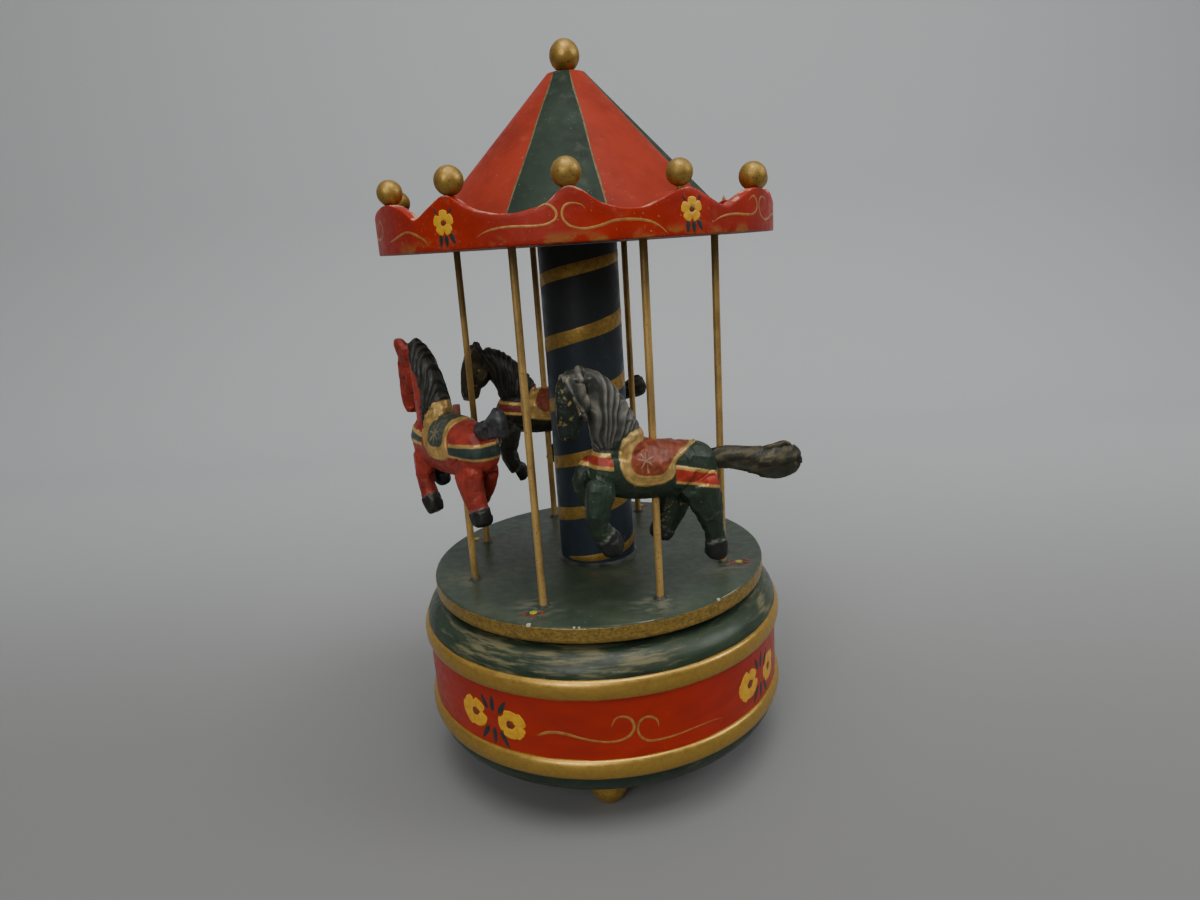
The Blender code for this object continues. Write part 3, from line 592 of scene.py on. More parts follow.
dots, red_petals = [], []
for (radius, angle), count in PLATFORM_FLOWERS.items():
    x, y, _ = polar(radius, angle) / MM
    dots.append(dab(x, y, 1.55, on_platform, 0.1))
    for number in range(count):
        around = math.radians(200 + 140 * number / (count - 1) if count < 5 else 160 + 55 * number)
        px, py = x + 3.6 * math.cos(around), y + 3.0 * math.sin(around)
        red_petals.append(dab(px, py, 1.15 + 0.15 * (number % 2), on_platform, 0.25 - 0.2 * number))
settle(put_together("platform_flower_dots", dots), "turntable", "gold_paint",
       enamel("lime_enamel", LIME, LIME_DEEP))
settle(put_together("platform_flower_petals", red_petals), "turntable", "red_paint",
       enamel("faded_red_enamel", FADED_RED, FADED_RED_DEEP))

# Column
# A round post between platform and canopy, painted navy, with a gold spiral drawn freehand round it and
# a bead of old glue at its foot. Towards the top the navy is painted darker as the canopy's shade.
COLUMN_RADIUS = 16.7
COLUMN_BOTTOM = 87.8
COLUMN_TOP = 224.8
COLUMN_SHADED = (150.0, 223.0)
SPIRAL = ((-0.15, 90.2), (-0.036, 91.2), (0.194, 94.1), (0.806, 109.8), (1.17, 117.2), (1.806, 133.5),
          (2.194, 142.0), (2.806, 159.0), (3.194, 167.6), (3.806, 185.0), (4.194, 194.2), (4.806, 212.2),
          (5.228, 219.8), (5.4, 223.0))
SPIRAL_WIDTH = 6.0
NAVY_PALER = (0.020, 0.030, 0.040)
NAVY_PAINTED_SHADE = (0.026, 0.027, 0.020)
NAVY_DUSTY = (0.06, 0.07, 0.065)
GLUE_DARK = (0.014, 0.017, 0.014)
GLUE_PALE = (0.050, 0.052, 0.040)


def navy_finish():
    finish = Finish("navy_paint")
    streak = finish.noise(80, 4, (1, 1, 0.25))
    colour = finish.mix(finish.fade(streak, 0.35, 0.7), NAVY, NAVY_PALER)
    # Painted shade: the navy darkens towards the top, where the canopy shades the post.
    top = finish.over(finish.axes[2], COLUMN_SHADED, 0.0, 0.7)
    colour = finish.mix(top, colour, NAVY_PAINTED_SHADE)
    colour = finish.patches((300, 5), (0.60, 0.75, 0.0, 0.5), colour, NAVY_DUSTY)
    rough = finish.uneven(200, 0.38, 0.55)
    finish.bump(finish.noise(500, 4, (1, 1, 0.4)), 0.12)
    return finish.done(colour, rough)


profile = [(COLUMN_RADIUS, level) for level in (COLUMN_TOP, 180, 134, COLUMN_BOTTOM)]
settle(turn("column_post", profile, 96), "turntable", "navy_paint", navy_finish(), "column")


def on_column(points, lift):
    angle = points[:, 0] / COLUMN_RADIUS
    radius = COLUMN_RADIUS + lift
    height = np.clip(points[:, 1], PLATFORM_TOP + 0.4, COLUMN_TOP)
    return np.stack([radius * np.sin(angle), -radius * np.cos(angle), height], 1)


turns = np.linspace(SPIRAL[0][0], SPIRAL[-1][0], 280)
levels = np.interp(turns, *zip(*SPIRAL))
levels[12:-12] = np.convolve(levels, np.ones(25) / 25, "valid")
spiral_path = np.stack([turns * 2 * math.pi * COLUMN_RADIUS, levels], 1)
spiral_widths = [SPIRAL_WIDTH / 2 * (1 + 0.07 * math.sin(k * 2.1) + 0.05 * math.sin(k * 5.3))
                 for k in range(40)]
spiral = brush_stroke(spiral_path, spiral_widths, on_column, 0.14, 420)
settle(put_together("column_spiral", [spiral]), "turntable", "gold_paint", gilt_finish("column_gilding"))

glue_profile = [(16.4, 89.0), (16.9, 88.7), (17.2, 88.3), (17.7, 87.9), (18.3, 87.6), (18.6, 87.3)]
glue = turn("column_glue", glue_profile, 96)
glue_place = np.array([v.co for v in glue.data.vertices])
around = np.arctan2(glue_place[:, 0], -glue_place[:, 1])
ripple = 0.35 * np.sin(3 * around + 0.6) + 0.25 * np.sin(7 * around + 2) + 0.15 * np.sin(13 * around)
out = np.hypot(glue_place[:, 0], glue_place[:, 1]) / MM
grow = 1 + np.clip((out - 16.9) / 2.5, 0, 1) * ripple * 0.035
glue_place[:, :2] *= grow[:, None]
glue_place[:, 2] += np.where(out < 17.6, ripple * 0.4 * MM, 0)
glue.data.vertices.foreach_set("co", glue_place.astype(np.float32).ravel())
glue_finish = Finish("old_glue", 0.42)
glue_colour = glue_finish.patches((170, 4), (0.35, 0.65), GLUE_DARK, GLUE_PALE)
glue_finish.bump(glue_finish.noise(500, 3), 0.3, 0.6)
settle(glue, "turntable", "green_paint", glue_finish.done(glue_colour))

# Poles
# Thin dowels in bronze paint, each glued in a socket of the platform and of the canopy disc, with a
# little glue round its foot. They keep their CAD form; the broken one shows bare splinters at its top.
POLE_RADIUS = 1.5
POLE_SHADED = (190.0, 224.0)
BREAK_LEVEL = 158.5
POLE_GOLD = (0.57, 0.365, 0.120)
POLE_GOLD_DULL = (0.32, 0.205, 0.072)
POLE_PAINTED_SHADE = (0.10, 0.065, 0.028)
BARE_BREAK = (0.30, 0.12, 0.075)
FOOT_GLUE_DARK = (0.035, 0.040, 0.028)
FOOT_GLUE_PALE = (0.085, 0.080, 0.055)


def pole_finish(name, broken_above=1000.0):
    """Bronze paint on a thin dowel, painted darker near the canopy as its shade, with bare reddened wood
    above a break.
    """
    finish = Finish(name, metallic=0.5)
    patches = finish.fade(finish.noise(150, 5, (1, 1, 0.35)), 0.38, 0.66)
    colour = finish.mix(patches, POLE_GOLD, POLE_GOLD_DULL)
    colour = finish.patches((1400, 3), (0.60, 0.72), colour, GOLD_DARK)
    height = finish.axes[2]
    # Painted shade: the gold darkens towards the canopy.
    colour = finish.mix(finish.over(height, POLE_SHADED, 0.0, 0.65), colour, POLE_PAINTED_SHADE)
    colour = finish.mix(finish.over(height, (broken_above, broken_above + 0.6)), colour, BARE_BREAK)
    finish.bump(finish.noise(900, 4, (1, 1, 0.5)), 0.2)
    return finish.done(colour, finish.uneven(500, 0.38, 0.56))


POLE_FINISH = pole_finish("pole_gilding")
BROKEN_FINISH = pole_finish("broken_pole_gilding", BREAK_LEVEL)
for name in ("pole_1", "pole_2_broken", "pole_3", "pole_4", "pole_5", "pole_6", "pole_7"):
    dress(name, BROKEN_FINISH if name == "pole_2_broken" else POLE_FINISH)
glue_rings = []
for number, angle in enumerate(POLE_ANGLES):
    spot = polar(POLE_CIRCLE, angle)
    lift = 0.25 * math.sin(2.4 * number)
    ring_profile = [(POLE_RADIUS - 0.1, 88.6 + lift), (1.75, 88.4 + lift), (2.1, 87.9), (2.8, 87.62),
                    (3.0, 87.45)]
    glue_rings.append(turn("glue", ring_profile, 20, (spot.x, spot.y)))
foot_glue = Finish("pole_foot_glue", 0.5)
foot_glue_colour = foot_glue.patches((500, 3), (0.4, 0.65), FOOT_GLUE_DARK, FOOT_GLUE_PALE)
settle(put_together("pole_foot_glue", glue_rings), "turntable", "green_paint",
       foot_glue.done(foot_glue_colour))

# Canopy disc and rim
# The disc carries the poles' upper ends. Round it stands a scalloped ring, sawn and sanded, red with
# pale crests, partly worn and partly a painted highlight, and its lower edge shows smears of bronze paint.
CANOPY_BOTTOM = 225.1
RIM_RADIUS = 80.0
RIM_WALL = 4.0
RIM_EDGE = ((-76.4, 13.5), (-63.5, 16.2), (-55.4, 16.4), (-48.7, 14.1), (-43.5, 11.0), (-38.3, 13.8),
            (-32.3, 16.9), (-26.7, 13.3), (-23.4, 11.7), (-18.6, 10.5), (-14.8, 10.2), (-11.1, 10.8),
            (-6.6, 12.3), (-3.6, 15.2), (-1.1, 16.7), (2.0, 15.2), (5.4, 12.1), (8.9, 10.4), (12.6, 9.7),
            (16.3, 9.9), (20.3, 11.6), (24.5, 13.8), (28.9, 14.7), (33.6, 12.3), (40.0, 9.2), (45.2, 11.4),
            (51.0, 13.8), (55.1, 14.7), (60.0, 14.3), (66.6, 12.9), (72.0, 11.2), (76.4, 10.9),
            (82.0, 12.6), (88.0, 15.6), (94.5, 16.5), (103.0, 16.3), (108.0, 14.6), (112.0, 14.0),
            (117.5, 14.6), (123.0, 12.4), (131.0, 9.8), (139.0, 12.6), (146.0, 16.4), (152.0, 13.2),
            (160.0, 9.8), (168.0, 12.4), (174.5, 16.4), (181.0, 12.8), (189.0, 9.8), (196.0, 12.8),
            (202.0, 16.4), (208.0, 13.0), (216.0, 9.8), (223.5, 13.0), (229.5, 16.4), (236.0, 13.2),
            (243.5, 10.0), (250.5, 13.0), (257.5, 16.4), (265.0, 13.2), (274.0, 10.6), (279.5, 11.6))
CREST_WORN_AND_HIGHLIGHT = (0.60, 0.32, 0.21)
RIM_SMEAR = (0.30, 0.13, 0.03)
RIM_SPECKS = (0.42, 0.30, 0.20)
DISC_RED = (0.20, 0.030, 0.016)
DISC_RED_DEEP = (0.11, 0.020, 0.012)
DISC_DIRT = (0.09, 0.06, 0.035)
RIM_SMEARED = (225.5, 230.0)
RIM_FRONT = (-55.0, -45.0)
LOWEST_EDGE = 9.5
SANDED_OFF = 0.12
SANDED_EDGE = 0.55
RIM_SIDES = 360
RIM_ROWS = 6
rim_line = curve_through([(RIM_EDGE[-1][0] - 360, RIM_EDGE[-1][1]), *RIM_EDGE,
                          *((angle + 360, height) for angle, height in RIM_EDGE[:2])], 1500)


def rim_height(degrees):
    """Height of the scalloped edge over the canopy's lower edge, uneven as it was sawn and sanded."""
    at = (degrees - RIM_EDGE[0][0]) % 360 + RIM_EDGE[0][0]
    height = float(np.interp(at, rim_line[:, 0], rim_line[:, 1]))
    return height + SANDED_OFF * (height - LOWEST_EDGE)


def rim_paint():
    finish = Finish("rim_paint", sheen=0.22)
    crest_wear_and_highlight = finish.add("ShaderNodeAttribute", attribute_name="crest_wear_and_highlight").outputs["Fac"]
    red = finish.patches((55, 4), (0.30, 0.65, 0.3, 1.0), RED, RED_DEEP)
    red = finish.patches((140, 5), (0.56, 0.72, 0.0, 0.5), red, RED_WORN)
    # Pale crests: partly worn paint and partly a painted highlight along the top edge.
    ragged = finish.times(crest_wear_and_highlight, finish.fade(finish.noise(180, 5), 0.36, 0.66, 0.1, 1.0))
    red = finish.mix(finish.fade(ragged, 0.30, 0.85, 0.0, 0.75), red, CREST_WORN_AND_HIGHLIGHT)
    low = finish.over(finish.axes[2], RIM_SMEARED, 1.0, 0.0)
    smear = finish.times(low, finish.fade(finish.noise(95, 4, (1, 1, 2)), 0.47, 0.62))
    front = finish.over(finish.axes[1], RIM_FRONT, 0.8, 0.0)
    red = finish.mix(finish.times(smear, front), red, RIM_SMEAR)
    red = finish.patches((1200, 3), (0.67, 0.75), red, RIM_SPECKS)
    rough = finish.uneven(260, 0.34, 0.5)
    finish.bump(finish.noise(430, 4), 0.14)
    return finish.done(red, rough)


def work(piece, name, kind, **settings):
    """Adds a modifier to the piece and applies it."""
    modifier = piece.modifiers.new(name, kind)
    for key, value in settings.items():
        setattr(modifier, key, value)
    bpy.ops.object.modifier_apply(modifier=modifier.name)


def bearing_of(vertex):
    return math.degrees(math.atan2(vertex.co.x, -vertex.co.y)) % 360


deselect()
bpy.ops.mesh.primitive_circle_add(vertices=RIM_SIDES, radius=RIM_RADIUS * MM,
                                  location=(0, 0, CANOPY_BOTTOM * MM))
rim = bpy.context.object
rim.name = rim.data.name = "scalloped_rim"
bpy.ops.object.mode_set(mode="EDIT")
bpy.ops.mesh.select_all(action="SELECT")
for _ in range(RIM_ROWS):
    bpy.ops.mesh.extrude_edges_move(TRANSFORM_OT_translate={"value": (0, 0, MM)})
bpy.ops.object.mode_set(mode="OBJECT")
bpy.ops.object.transform_apply(location=True, rotation=True, scale=True)
for vertex in rim.data.vertices:
    degrees = bearing_of(vertex)
    row_share = round((vertex.co.z / MM - CANOPY_BOTTOM)) / RIM_ROWS
    vertex.co.z = (CANOPY_BOTTOM + row_share * rim_height(degrees)) * MM
bpy.ops.object.mode_set(mode="EDIT")
close_up()
work(rim, "wall", "SOLIDIFY", thickness=RIM_WALL * MM, offset=-1)
work(rim, "sanded_edges", "BEVEL", width=SANDED_EDGE * MM, segments=3, limit_method="ANGLE",
     angle_limit=math.radians(50))
# Nearness to the crest, for the pale crest colour: wear and painted highlight.
crest_wear_and_highlight = rim.data.attributes.new("crest_wear_and_highlight", "FLOAT", "POINT")
for vertex in rim.data.vertices:
    degrees = bearing_of(vertex)
    below = rim_height(degrees) - (vertex.co.z / MM - CANOPY_BOTTOM)
    crest_wear_and_highlight.data[vertex.index].value = max(0.0, min(1.0, 1 - (below - 0.1) / 0.9))
smooth_shade(rim, 40)
settle(rim, "turntable", "red_paint", rim_paint(), "canopy_rim")


def disc_finish():
    finish = Finish("canopy_disc_paint", 0.6)
    colour = finish.patches((60, 4), (0.35, 0.7), DISC_RED, DISC_RED_DEEP)
    colour = finish.patches((130, 5), (0.58, 0.72, 0.0, 0.7), colour, DISC_DIRT)
    finish.bump(finish.noise(400, 4), 0.2)
    return finish.done(colour)


dress("canopy_disc", disc_finish())

# Painted ornament of the rim
# The same hand as on the base: under every other crest a yellow flower between dark leaves, and under
# the others two thin scrolls that turn away from each other.
RIM_FLOWERS = (-33.2, 28.7, 94.5, 146.0, 202.0, 257.5)
RIM_FLOWER_LEVEL = 9.1
RIM_PETAL_SIZE, RIM_RING_WIDTH, RIM_HEART_SIZE = 1.9, 1.0, 1.05
SMALLER_FLOWER = (28.7, 0.96, 8.3)
LEFTMOST_CREST = 300.5
RIM_SCROLLS = (-1.5, 57.5, 117.5, 174.5, 229.5, 300.5)
RIM_PETALS = [(0.2, 2.9), (2.9, 1.0), (1.9, -2.3), (-1.8, -2.4), (-3.0, 0.8)]
RIM_LEAVES = [((-1.5, -3.6), (-1.9, -7.8)), ((0.7, -3.8), (0.9, -8.0)), ((2.6, -3.4), (4.4, -7.0))]
RIM_TIPS = [((-2.6, 3.0), (-3.6, 4.8)), ((2.9, 2.9), (4.0, 4.6))]
RIM_SCROLL_LEFT = [(-22.6, 3.6), (-20.4, 5), (-17.5, 5.9), (-13.6, 6.2), (-8.4, 5.9), (-5.5, 6.1),
                   (-3.3, 7.3), (-2.7, 9.2), (-3.4, 11.1), (-4.8, 12.2), (-6.2, 11.8), (-7.8, 10.6)]
RIM_SCROLL_RIGHT = [(4.0, 10), (3, 11.5), (0.9, 12.1), (-0.6, 11.6), (-1.4, 9.8), (-1.3, 7.6), (-0.2, 5.6),
                    (1.6, 4.5), (3.7, 4.1), (7.3, 4.8), (11, 6.1), (15.4, 6), (19.2, 5), (21.9, 2.9),
                    (23.5, 0.8)]
LEFTMOST_SCROLL = [(1.3, 4.4), (4.6, 5.1), (8.7, 6.4), (12.1, 7.2), (14.9, 6.6), (17.3, 5.3), (19.2, 4),
                   (20.4, 2.6)]


def on_rim(points, lift):
    angle = points[:, 0] / RIM_RADIUS
    radius = RIM_RADIUS + lift
    return np.stack([radius * np.sin(angle), -radius * np.cos(angle), CANOPY_BOTTOM + points[:, 1]], 1)


petals, hearts, leaves, scrolls = [], [], [], []
millimetres_per_degree = math.radians(RIM_RADIUS)
for crest in RIM_FLOWERS:
    size, level = SMALLER_FLOWER[1:] if crest == SMALLER_FLOWER[0] else (1.0, RIM_FLOWER_LEVEL)
    heart = np.array([crest * millimetres_per_degree, level])
    petals += [petal(heart, heart + np.array(off) * size, RIM_PETAL_SIZE * size, on_rim, 0.95)
               for off in RIM_PETALS]
    petals.append(ring(heart, RIM_PETAL_SIZE * size, RIM_RING_WIDTH, on_rim))
    hearts.append(dab(*heart, RIM_HEART_SIZE, on_rim))
    for width, places in ((0.95, RIM_LEAVES), (0.5, RIM_TIPS)):
        leaves += [leaf(heart + np.array(start) * size, heart + np.array(tip) * size, width, on_rim)
                   for start, tip in places]
for crest in RIM_SCROLLS:
    right = LEFTMOST_SCROLL if crest == LEFTMOST_CREST else RIM_SCROLL_RIGHT
    for line, widths in ((RIM_SCROLL_LEFT, [0.12, 0.36, 0.42, 0.36, 0.45, 0.42, 0.16]),
                         (right, [0.16, 0.36, 0.40, 0.36, 0.45, 0.45, 0.12])):
        path = [((crest + degrees) * millimetres_per_degree, level) for degrees, level in line]
        scrolls.append(brush_stroke(path, widths, on_rim, 0.08, 54))
settle(put_together("rim_flower_petals", petals), "turntable", "gold_paint", YELLOW_FINISH)
settle(put_together("rim_flower_hearts", hearts), "turntable", "red_paint", HEART_FINISH)
settle(put_together("rim_flower_leaves", leaves), "turntable", "green_paint", LEAF_FINISH)
settle(put_together("rim_scrolls", scrolls), "turntable", "gold_paint", SCROLL_FINISH)

# Roof
# A solid cone turned in one piece, painted in eight stripes of red and green, with a thin gold line
# drawn over every joint between them.
ROOF_SLOPE = math.tan(math.radians(46.7))
ROOF_APEX = 298.5
ROOF_FLAT_RADIUS = 7.7
ROOF_BOTTOM = 231.4
ROOF_TOP = ROOF_APEX - ROOF_FLAT_RADIUS * ROOF_SLOPE
ROOF_RADIUS = (ROOF_APEX - ROOF_BOTTOM) / ROOF_SLOPE
ROOF_GREEN = (0.022, 0.036, 0.022)
ROOF_GREEN_DEEP = (0.014, 0.024, 0.016)
ROOF_GREEN_RUBBED = (0.055, 0.066, 0.042)
ROOF_RED = (0.290, 0.027, 0.011)
ROOF_RED_DEEP = (0.215, 0.019, 0.008)
ROOF_RED_RUBBED = (0.36, 0.075, 0.035)
ROOF_SPECKS = (0.30, 0.25, 0.17)
LINE_GOLD = (0.150, 0.110, 0.038)
LINE_GOLD_DARK = (0.085, 0.062, 0.025)
STRIPE_EDGES = (-168, -123, -78, -23, 11, 60, 102, 147)
TWIST = 11.7
TWIST_RADIUS = 8.9
TWIST_FALL = 1.25
TWISTED_EDGE = -23


def roof_finish():
    finish = Finish("roof_paint", sheen=0.14)
    degrees = finish.bearing()
    nearness = finish.reckon("DIVIDE", TWIST_RADIUS * MM, finish.radius())
    towards_top = finish.reckon("POWER", nearness, TWIST_FALL)
    left = finish.between(degrees, -90.0, -10.0, 12.0)
    twist = finish.times(finish.times(towards_top, TWIST), left)
    wobble = finish.wobble(70, 2, 1.6)
    turned = finish.plus(finish.plus(degrees, twist), wobble)
    red = None
    for start, end in zip(STRIPE_EDGES[0::2], STRIPE_EDGES[1::2]):
        stripe = finish.between(turned, float(start), float(end), 0.25)
        red = stripe if red is None else finish.highest(red, stripe)
    green_colour = finish.patches((55, 4), (0.35, 0.7), ROOF_GREEN, ROOF_GREEN_DEEP)
    green_colour = finish.patches((170, 5), (0.56, 0.74, 0.0, 0.6), green_colour, ROOF_GREEN_RUBBED)
    red_colour = finish.patches((50, 4), (0.35, 0.7), ROOF_RED, ROOF_RED_DEEP)
    red_colour = finish.patches((160, 5), (0.60, 0.76, 0.0, 0.4), red_colour, ROOF_RED_RUBBED)
    colour = finish.mix(red, green_colour, red_colour)
    colour = finish.patches((1000, 3), (0.68, 0.76, 0.0, 0.7), colour, ROOF_SPECKS)
    finish.bump(finish.noise(420, 5), 0.1, 0.4)
    return finish.done(colour, finish.uneven(240, 0.48, 0.64))


profile = [(ROOF_FLAT_RADIUS, ROOF_TOP), *((radius, ROOF_APEX - radius * ROOF_SLOPE) for radius in (22, 42)),
           (ROOF_RADIUS, ROOF_BOTTOM)]
roof = turn("striped_roof", profile, 240, sharp_degrees=50)
settle(roof, "turntable", "green_paint", roof_finish(), "roof_cone")


def beside_joint(degrees):
    """Wraps flat points (mm off a stripe's joint, radius) on the roof."""
    def surface(points, lift):
        radius = points[:, 1]
        twist = TWIST * (TWIST_RADIUS / radius) ** TWIST_FALL if degrees == TWISTED_EDGE else 0.0
        angle = np.radians(degrees - twist) + points[:, 0] / radius
        lean = math.atan(1 / ROOF_SLOPE)
        out = radius + lift * math.cos(lean)
        height = ROOF_APEX - radius * ROOF_SLOPE + lift * math.sin(lean)
        return np.stack([out * np.sin(angle), -out * np.cos(angle), height], 1)
    return surface


LINE_WIDTHS = [0.32, 0.40, 0.26, 0.38, 0.22, 0.40, 0.30, 0.34]
lines = []
for number, degrees in enumerate(STRIPE_EDGES):
    radii = np.linspace(ROOF_FLAT_RADIUS + 0.2, ROOF_RADIUS - 0.4, 9)
    path = [(0.16 * math.sin(step * 1.7 + number * 2.3), radius) for step, radius in enumerate(radii)]
    lines.append(brush_stroke(path, LINE_WIDTHS, beside_joint(degrees), 0.05, 60))
settle(put_together("roof_lines", lines), "turntable", "gold_paint",
       enamel("roof_line_paint", LINE_GOLD, LINE_GOLD_DARK, 0.5, 0.2))

# Gilt beads and finial
# Turned beads glued on thin pins: one on every crest of the rim and a larger one on the roof. One bead
# of the rim is lost, so its bare pin stands there.
BALL_CIRCLE = 77.0
ROOF_GAP = 0.3
FINIAL_REACH = (6.0, 6.3)
FINIAL_CENTRE = ROOF_TOP + ROOF_GAP + FINIAL_REACH[1]
BALLS = {
    "01": (27.0, 4.5, 20.2), "02": (57.5, 5.1, 19.5), "03": (94.5, 4.75, 21.7), "05": (146.0, 4.75, 21.7),
    "06": (174.5, 4.75, 21.7), "07": (202.0, 4.75, 21.7), "08": (229.5, 4.75, 21.7),
    "09": (257.5, 4.75, 21.7), "10": (300.5, 4.65, 21.7), "11": (328.0, 4.95, 22.4),
    "12": (358.5, 4.85, 21.7)}
for number, (angle, radius, height) in BALLS.items():
    spot = polar(BALL_CIRCLE, angle)
    centre = CANOPY_BOTTOM + height
    crest = CANOPY_BOTTOM + rim_height(angle)
    profile = arc((0, centre), (radius, radius), 86, -78, 22)
    profile += [(1.15, centre - radius * 0.985), (1.0, crest - 0.4), (1.0, crest - 1.6)]
    bead = turn("gilt_bead_" + number, profile, 40, (spot.x, spot.y), 50)
    settle(bead, "turntable", "gold_paint", GILT_FINISH, "rim_ball_" + number)
profile = arc((0, FINIAL_CENTRE), FINIAL_REACH, 86, -76, 26)
profile += [(1.6, ROOF_TOP + ROOF_GAP), (1.4, ROOF_TOP - 0.8)]
finial = turn("finial_bead", profile, 56, sharp_degrees=50)
settle(finial, "turntable", "gold_paint", GILT_FINISH, "finial_ball")
dress("bare_pin", WOOD_FINISH)

# Horses
# Each is whittled from a small block, so legs, neck and head are one piece with the trunk: cut locks in
# the mane, and saddle, blanket and straps left a little proud. All of it is painted over by hand.
VOXEL = 0.37 * MM
GIRTH_MM = 0.165
KNIFE_CUTS = 260
TAIL_CUTS = 60
HORSE_PAINT = {
    "black": (0.014, 0.014, 0.013), "gold": (0.58, 0.370, 0.115), "cream": (0.56, 0.43, 0.22),
    "dust_and_highlight": (0.150, 0.150, 0.122), "white": (0.75, 0.72, 0.60), "line": (0.10, 0.055, 0.020),
    "pale": (0.30, 0.27, 0.19), "brown": (0.105, 0.078, 0.036), "cut": (0.008, 0.008, 0.007),
}
FLECK_GOLD = (0.38, 0.30, 0.09)
HORSE_SPECKS = (0.20, 0.16, 0.09)
MARK_RELIEF = {"black": 0.12, "gold": 0.12, "white": 0.25, "pale": 0.35, "brown": 0.0, "cut": -0.55}
MARK_STRENGTH = {"black": 1.0, "gold": 0.55, "white": 1.0, "pale": 0.6, "brown": 0.7, "cut": 0.9}


def rough_out(stations, sides=24):
    """One limb: a round drawn out from station to station (x, z, half depth, half width, y) in mm."""
    deselect()
    bpy.ops.mesh.primitive_circle_add(vertices=sides, radius=MM, fill_type="NGON")
    limb = bpy.context.object
    bpy.ops.object.mode_set(mode="EDIT")
    bpy.ops.mesh.select_all(action="SELECT")
    centres = [Vector((x, y, z)) * MM for x, z, depth, width, y in stations]
    last = None
    for index, (x, z, depth, width, y) in enumerate(stations):
        along = centres[min(index + 1, len(centres) - 1)] - centres[max(index - 1, 0)]
        across = Vector((-along.z, 0, along.x)).normalized()
        if last:
            bpy.ops.mesh.extrude_region_move()
        mesh = bmesh.from_edit_mesh(limb.data)
        for vertex in [v for v in mesh.verts if v.select]:
            if last:
                off = vertex.co - last[0]
                turn_by = math.atan2(off.y / last[3], off.dot(last[1]) / last[2])
            else:
                turn_by = math.atan2(vertex.co.y, vertex.co.x)
            aside = Vector((0, width * MM * math.sin(turn_by), 0))
            vertex.co = centres[index] + across * (depth * MM * math.cos(turn_by)) + aside
        bmesh.update_edit_mesh(limb.data)
        last = (centres[index], across, depth * MM, width * MM)
    close_up()
    work(limb, "soften", "SUBSURF", levels=2, render_levels=2)
    return limb


def carve_whole(name, limbs, smoothing):
    """Limbs grown together into one carved surface."""
    piece = put_together(name, limbs)
    work(piece, "one_block", "REMESH", mode="VOXEL", voxel_size=VOXEL)
    work(piece, "knife_work", "SMOOTH", factor=0.5, iterations=smoothing)
    return piece


def points_of(piece):
    co = np.zeros(len(piece.data.vertices) * 3, np.float32)
    piece.data.vertices.foreach_get("co", co)
    return co.reshape(-1, 3).astype(float) / MM


def normals_of(piece):
    found = np.zeros(len(piece.data.vertices) * 3, np.float32)
    piece.data.vertex_normals.foreach_get("vector", found)
    return found.reshape(-1, 3).astype(float)


def put_points(piece, points):
    piece.data.vertices.foreach_set("co", (points * MM).astype(np.float32).ravel())
    piece.data.update()


def along_limb(points, stations):
    """Every point's distance from the limb's middle (1 is its surface) and its place between stations."""
    best = np.full(len(points), 1e9)
    place = np.zeros(len(points))
    rows = np.array(stations, float)
    for index, (a, b) in enumerate(zip(rows, rows[1:])):
        start, end = a[[0, 1]], b[[0, 1]]
        line = end - start
        share = np.clip(((points[:, [0, 2]] - start) @ line) / (line @ line), 0, 1)
        middle = start + share[:, None] * line
        depth, width, side = (a[k] + share * (b[k] - a[k]) for k in (2, 3, 4))
        off = points[:, [0, 2]] - middle
        reach = np.sqrt((off ** 2).sum(1) / depth ** 2 + (points[:, 1] - side) ** 2 / width ** 2)
        better = reach < best
        best = np.where(better, reach, best)
        place = np.where(better, index + share, place)
    return best, place


def edge_distance(points, outline):
    """Distance in mm, seen from the side, to an outline of (x, z); negative inside."""
    x, z = points[:, 0], points[:, 2]
    nearest = np.full(len(points), 1e9)
    inside = np.zeros(len(points), bool)
    for (ax, az), (bx, bz) in zip(outline, outline[1:] + outline[:1]):
        along = (x - ax) * (bx - ax) + (z - az) * (bz - az)
        share = np.clip(along / ((bx - ax) ** 2 + (bz - az) ** 2), 0, 1)
        nearest = np.minimum(nearest, np.hypot(x - ax - share * (bx - ax), z - az - share * (bz - az)))
        crosses = (az > z) != (bz > z)
        inside ^= crosses & (x < (bx - ax) * (z - az) / np.where(bz == az, 1e-9, bz - az) + ax)
    return np.where(inside, -nearest, nearest)


def cover(distance, soft=0.45):
    """1 well inside an edge, 0 well outside."""
    share = np.clip(0.5 - distance / soft, 0, 1)
    return share * share * (3 - 2 * share)


def hand_wobble(points, size, period=6.0):
    """Small smooth unevenness, as from a knife or brush."""
    k = 2 * math.pi / period
    x, y, z = points.T
    return size * (np.sin(k * (x + 0.7 * z) + 1.3 * y) + np.sin(1.9 * k * (z - 0.4 * x) + 2.1)
                   + 0.6 * np.sin(3.7 * k * (x - 0.3 * y) + 0.8 * z)) / 2.6


def grain(points, size):
    """Uneven spots about this many mm across, from -1 to 1."""
    return np.array([noise.noise(Vector(point)) for point in points / size])


def whittle(points, normals, free, count, shift, shallow=0.22, deep=0.50, reach=4.5):
    """Flat knife cuts: round spots pared down to a plane a little under the surface."""
    free = np.flatnonzero(free)
    picks = free[((np.arange(count) * 0.618034 + shift) % 1.0 * (len(free) - 1)).astype(int)]
    starts, facing = points[picks].copy(), normals[picks]
    for number in range(count):
        depth = shallow + (deep - shallow) * ((number * 0.7548) % 1.0)
        above = (points - starts[number]) @ facing[number] + depth
        near = ((points - starts[number]) ** 2).sum(1) < reach ** 2
        near &= (above > 0) & (above < 2.2 * deep) & (normals @ facing[number] > 0.3)
        points[near] -= facing[number] * above[near, None]


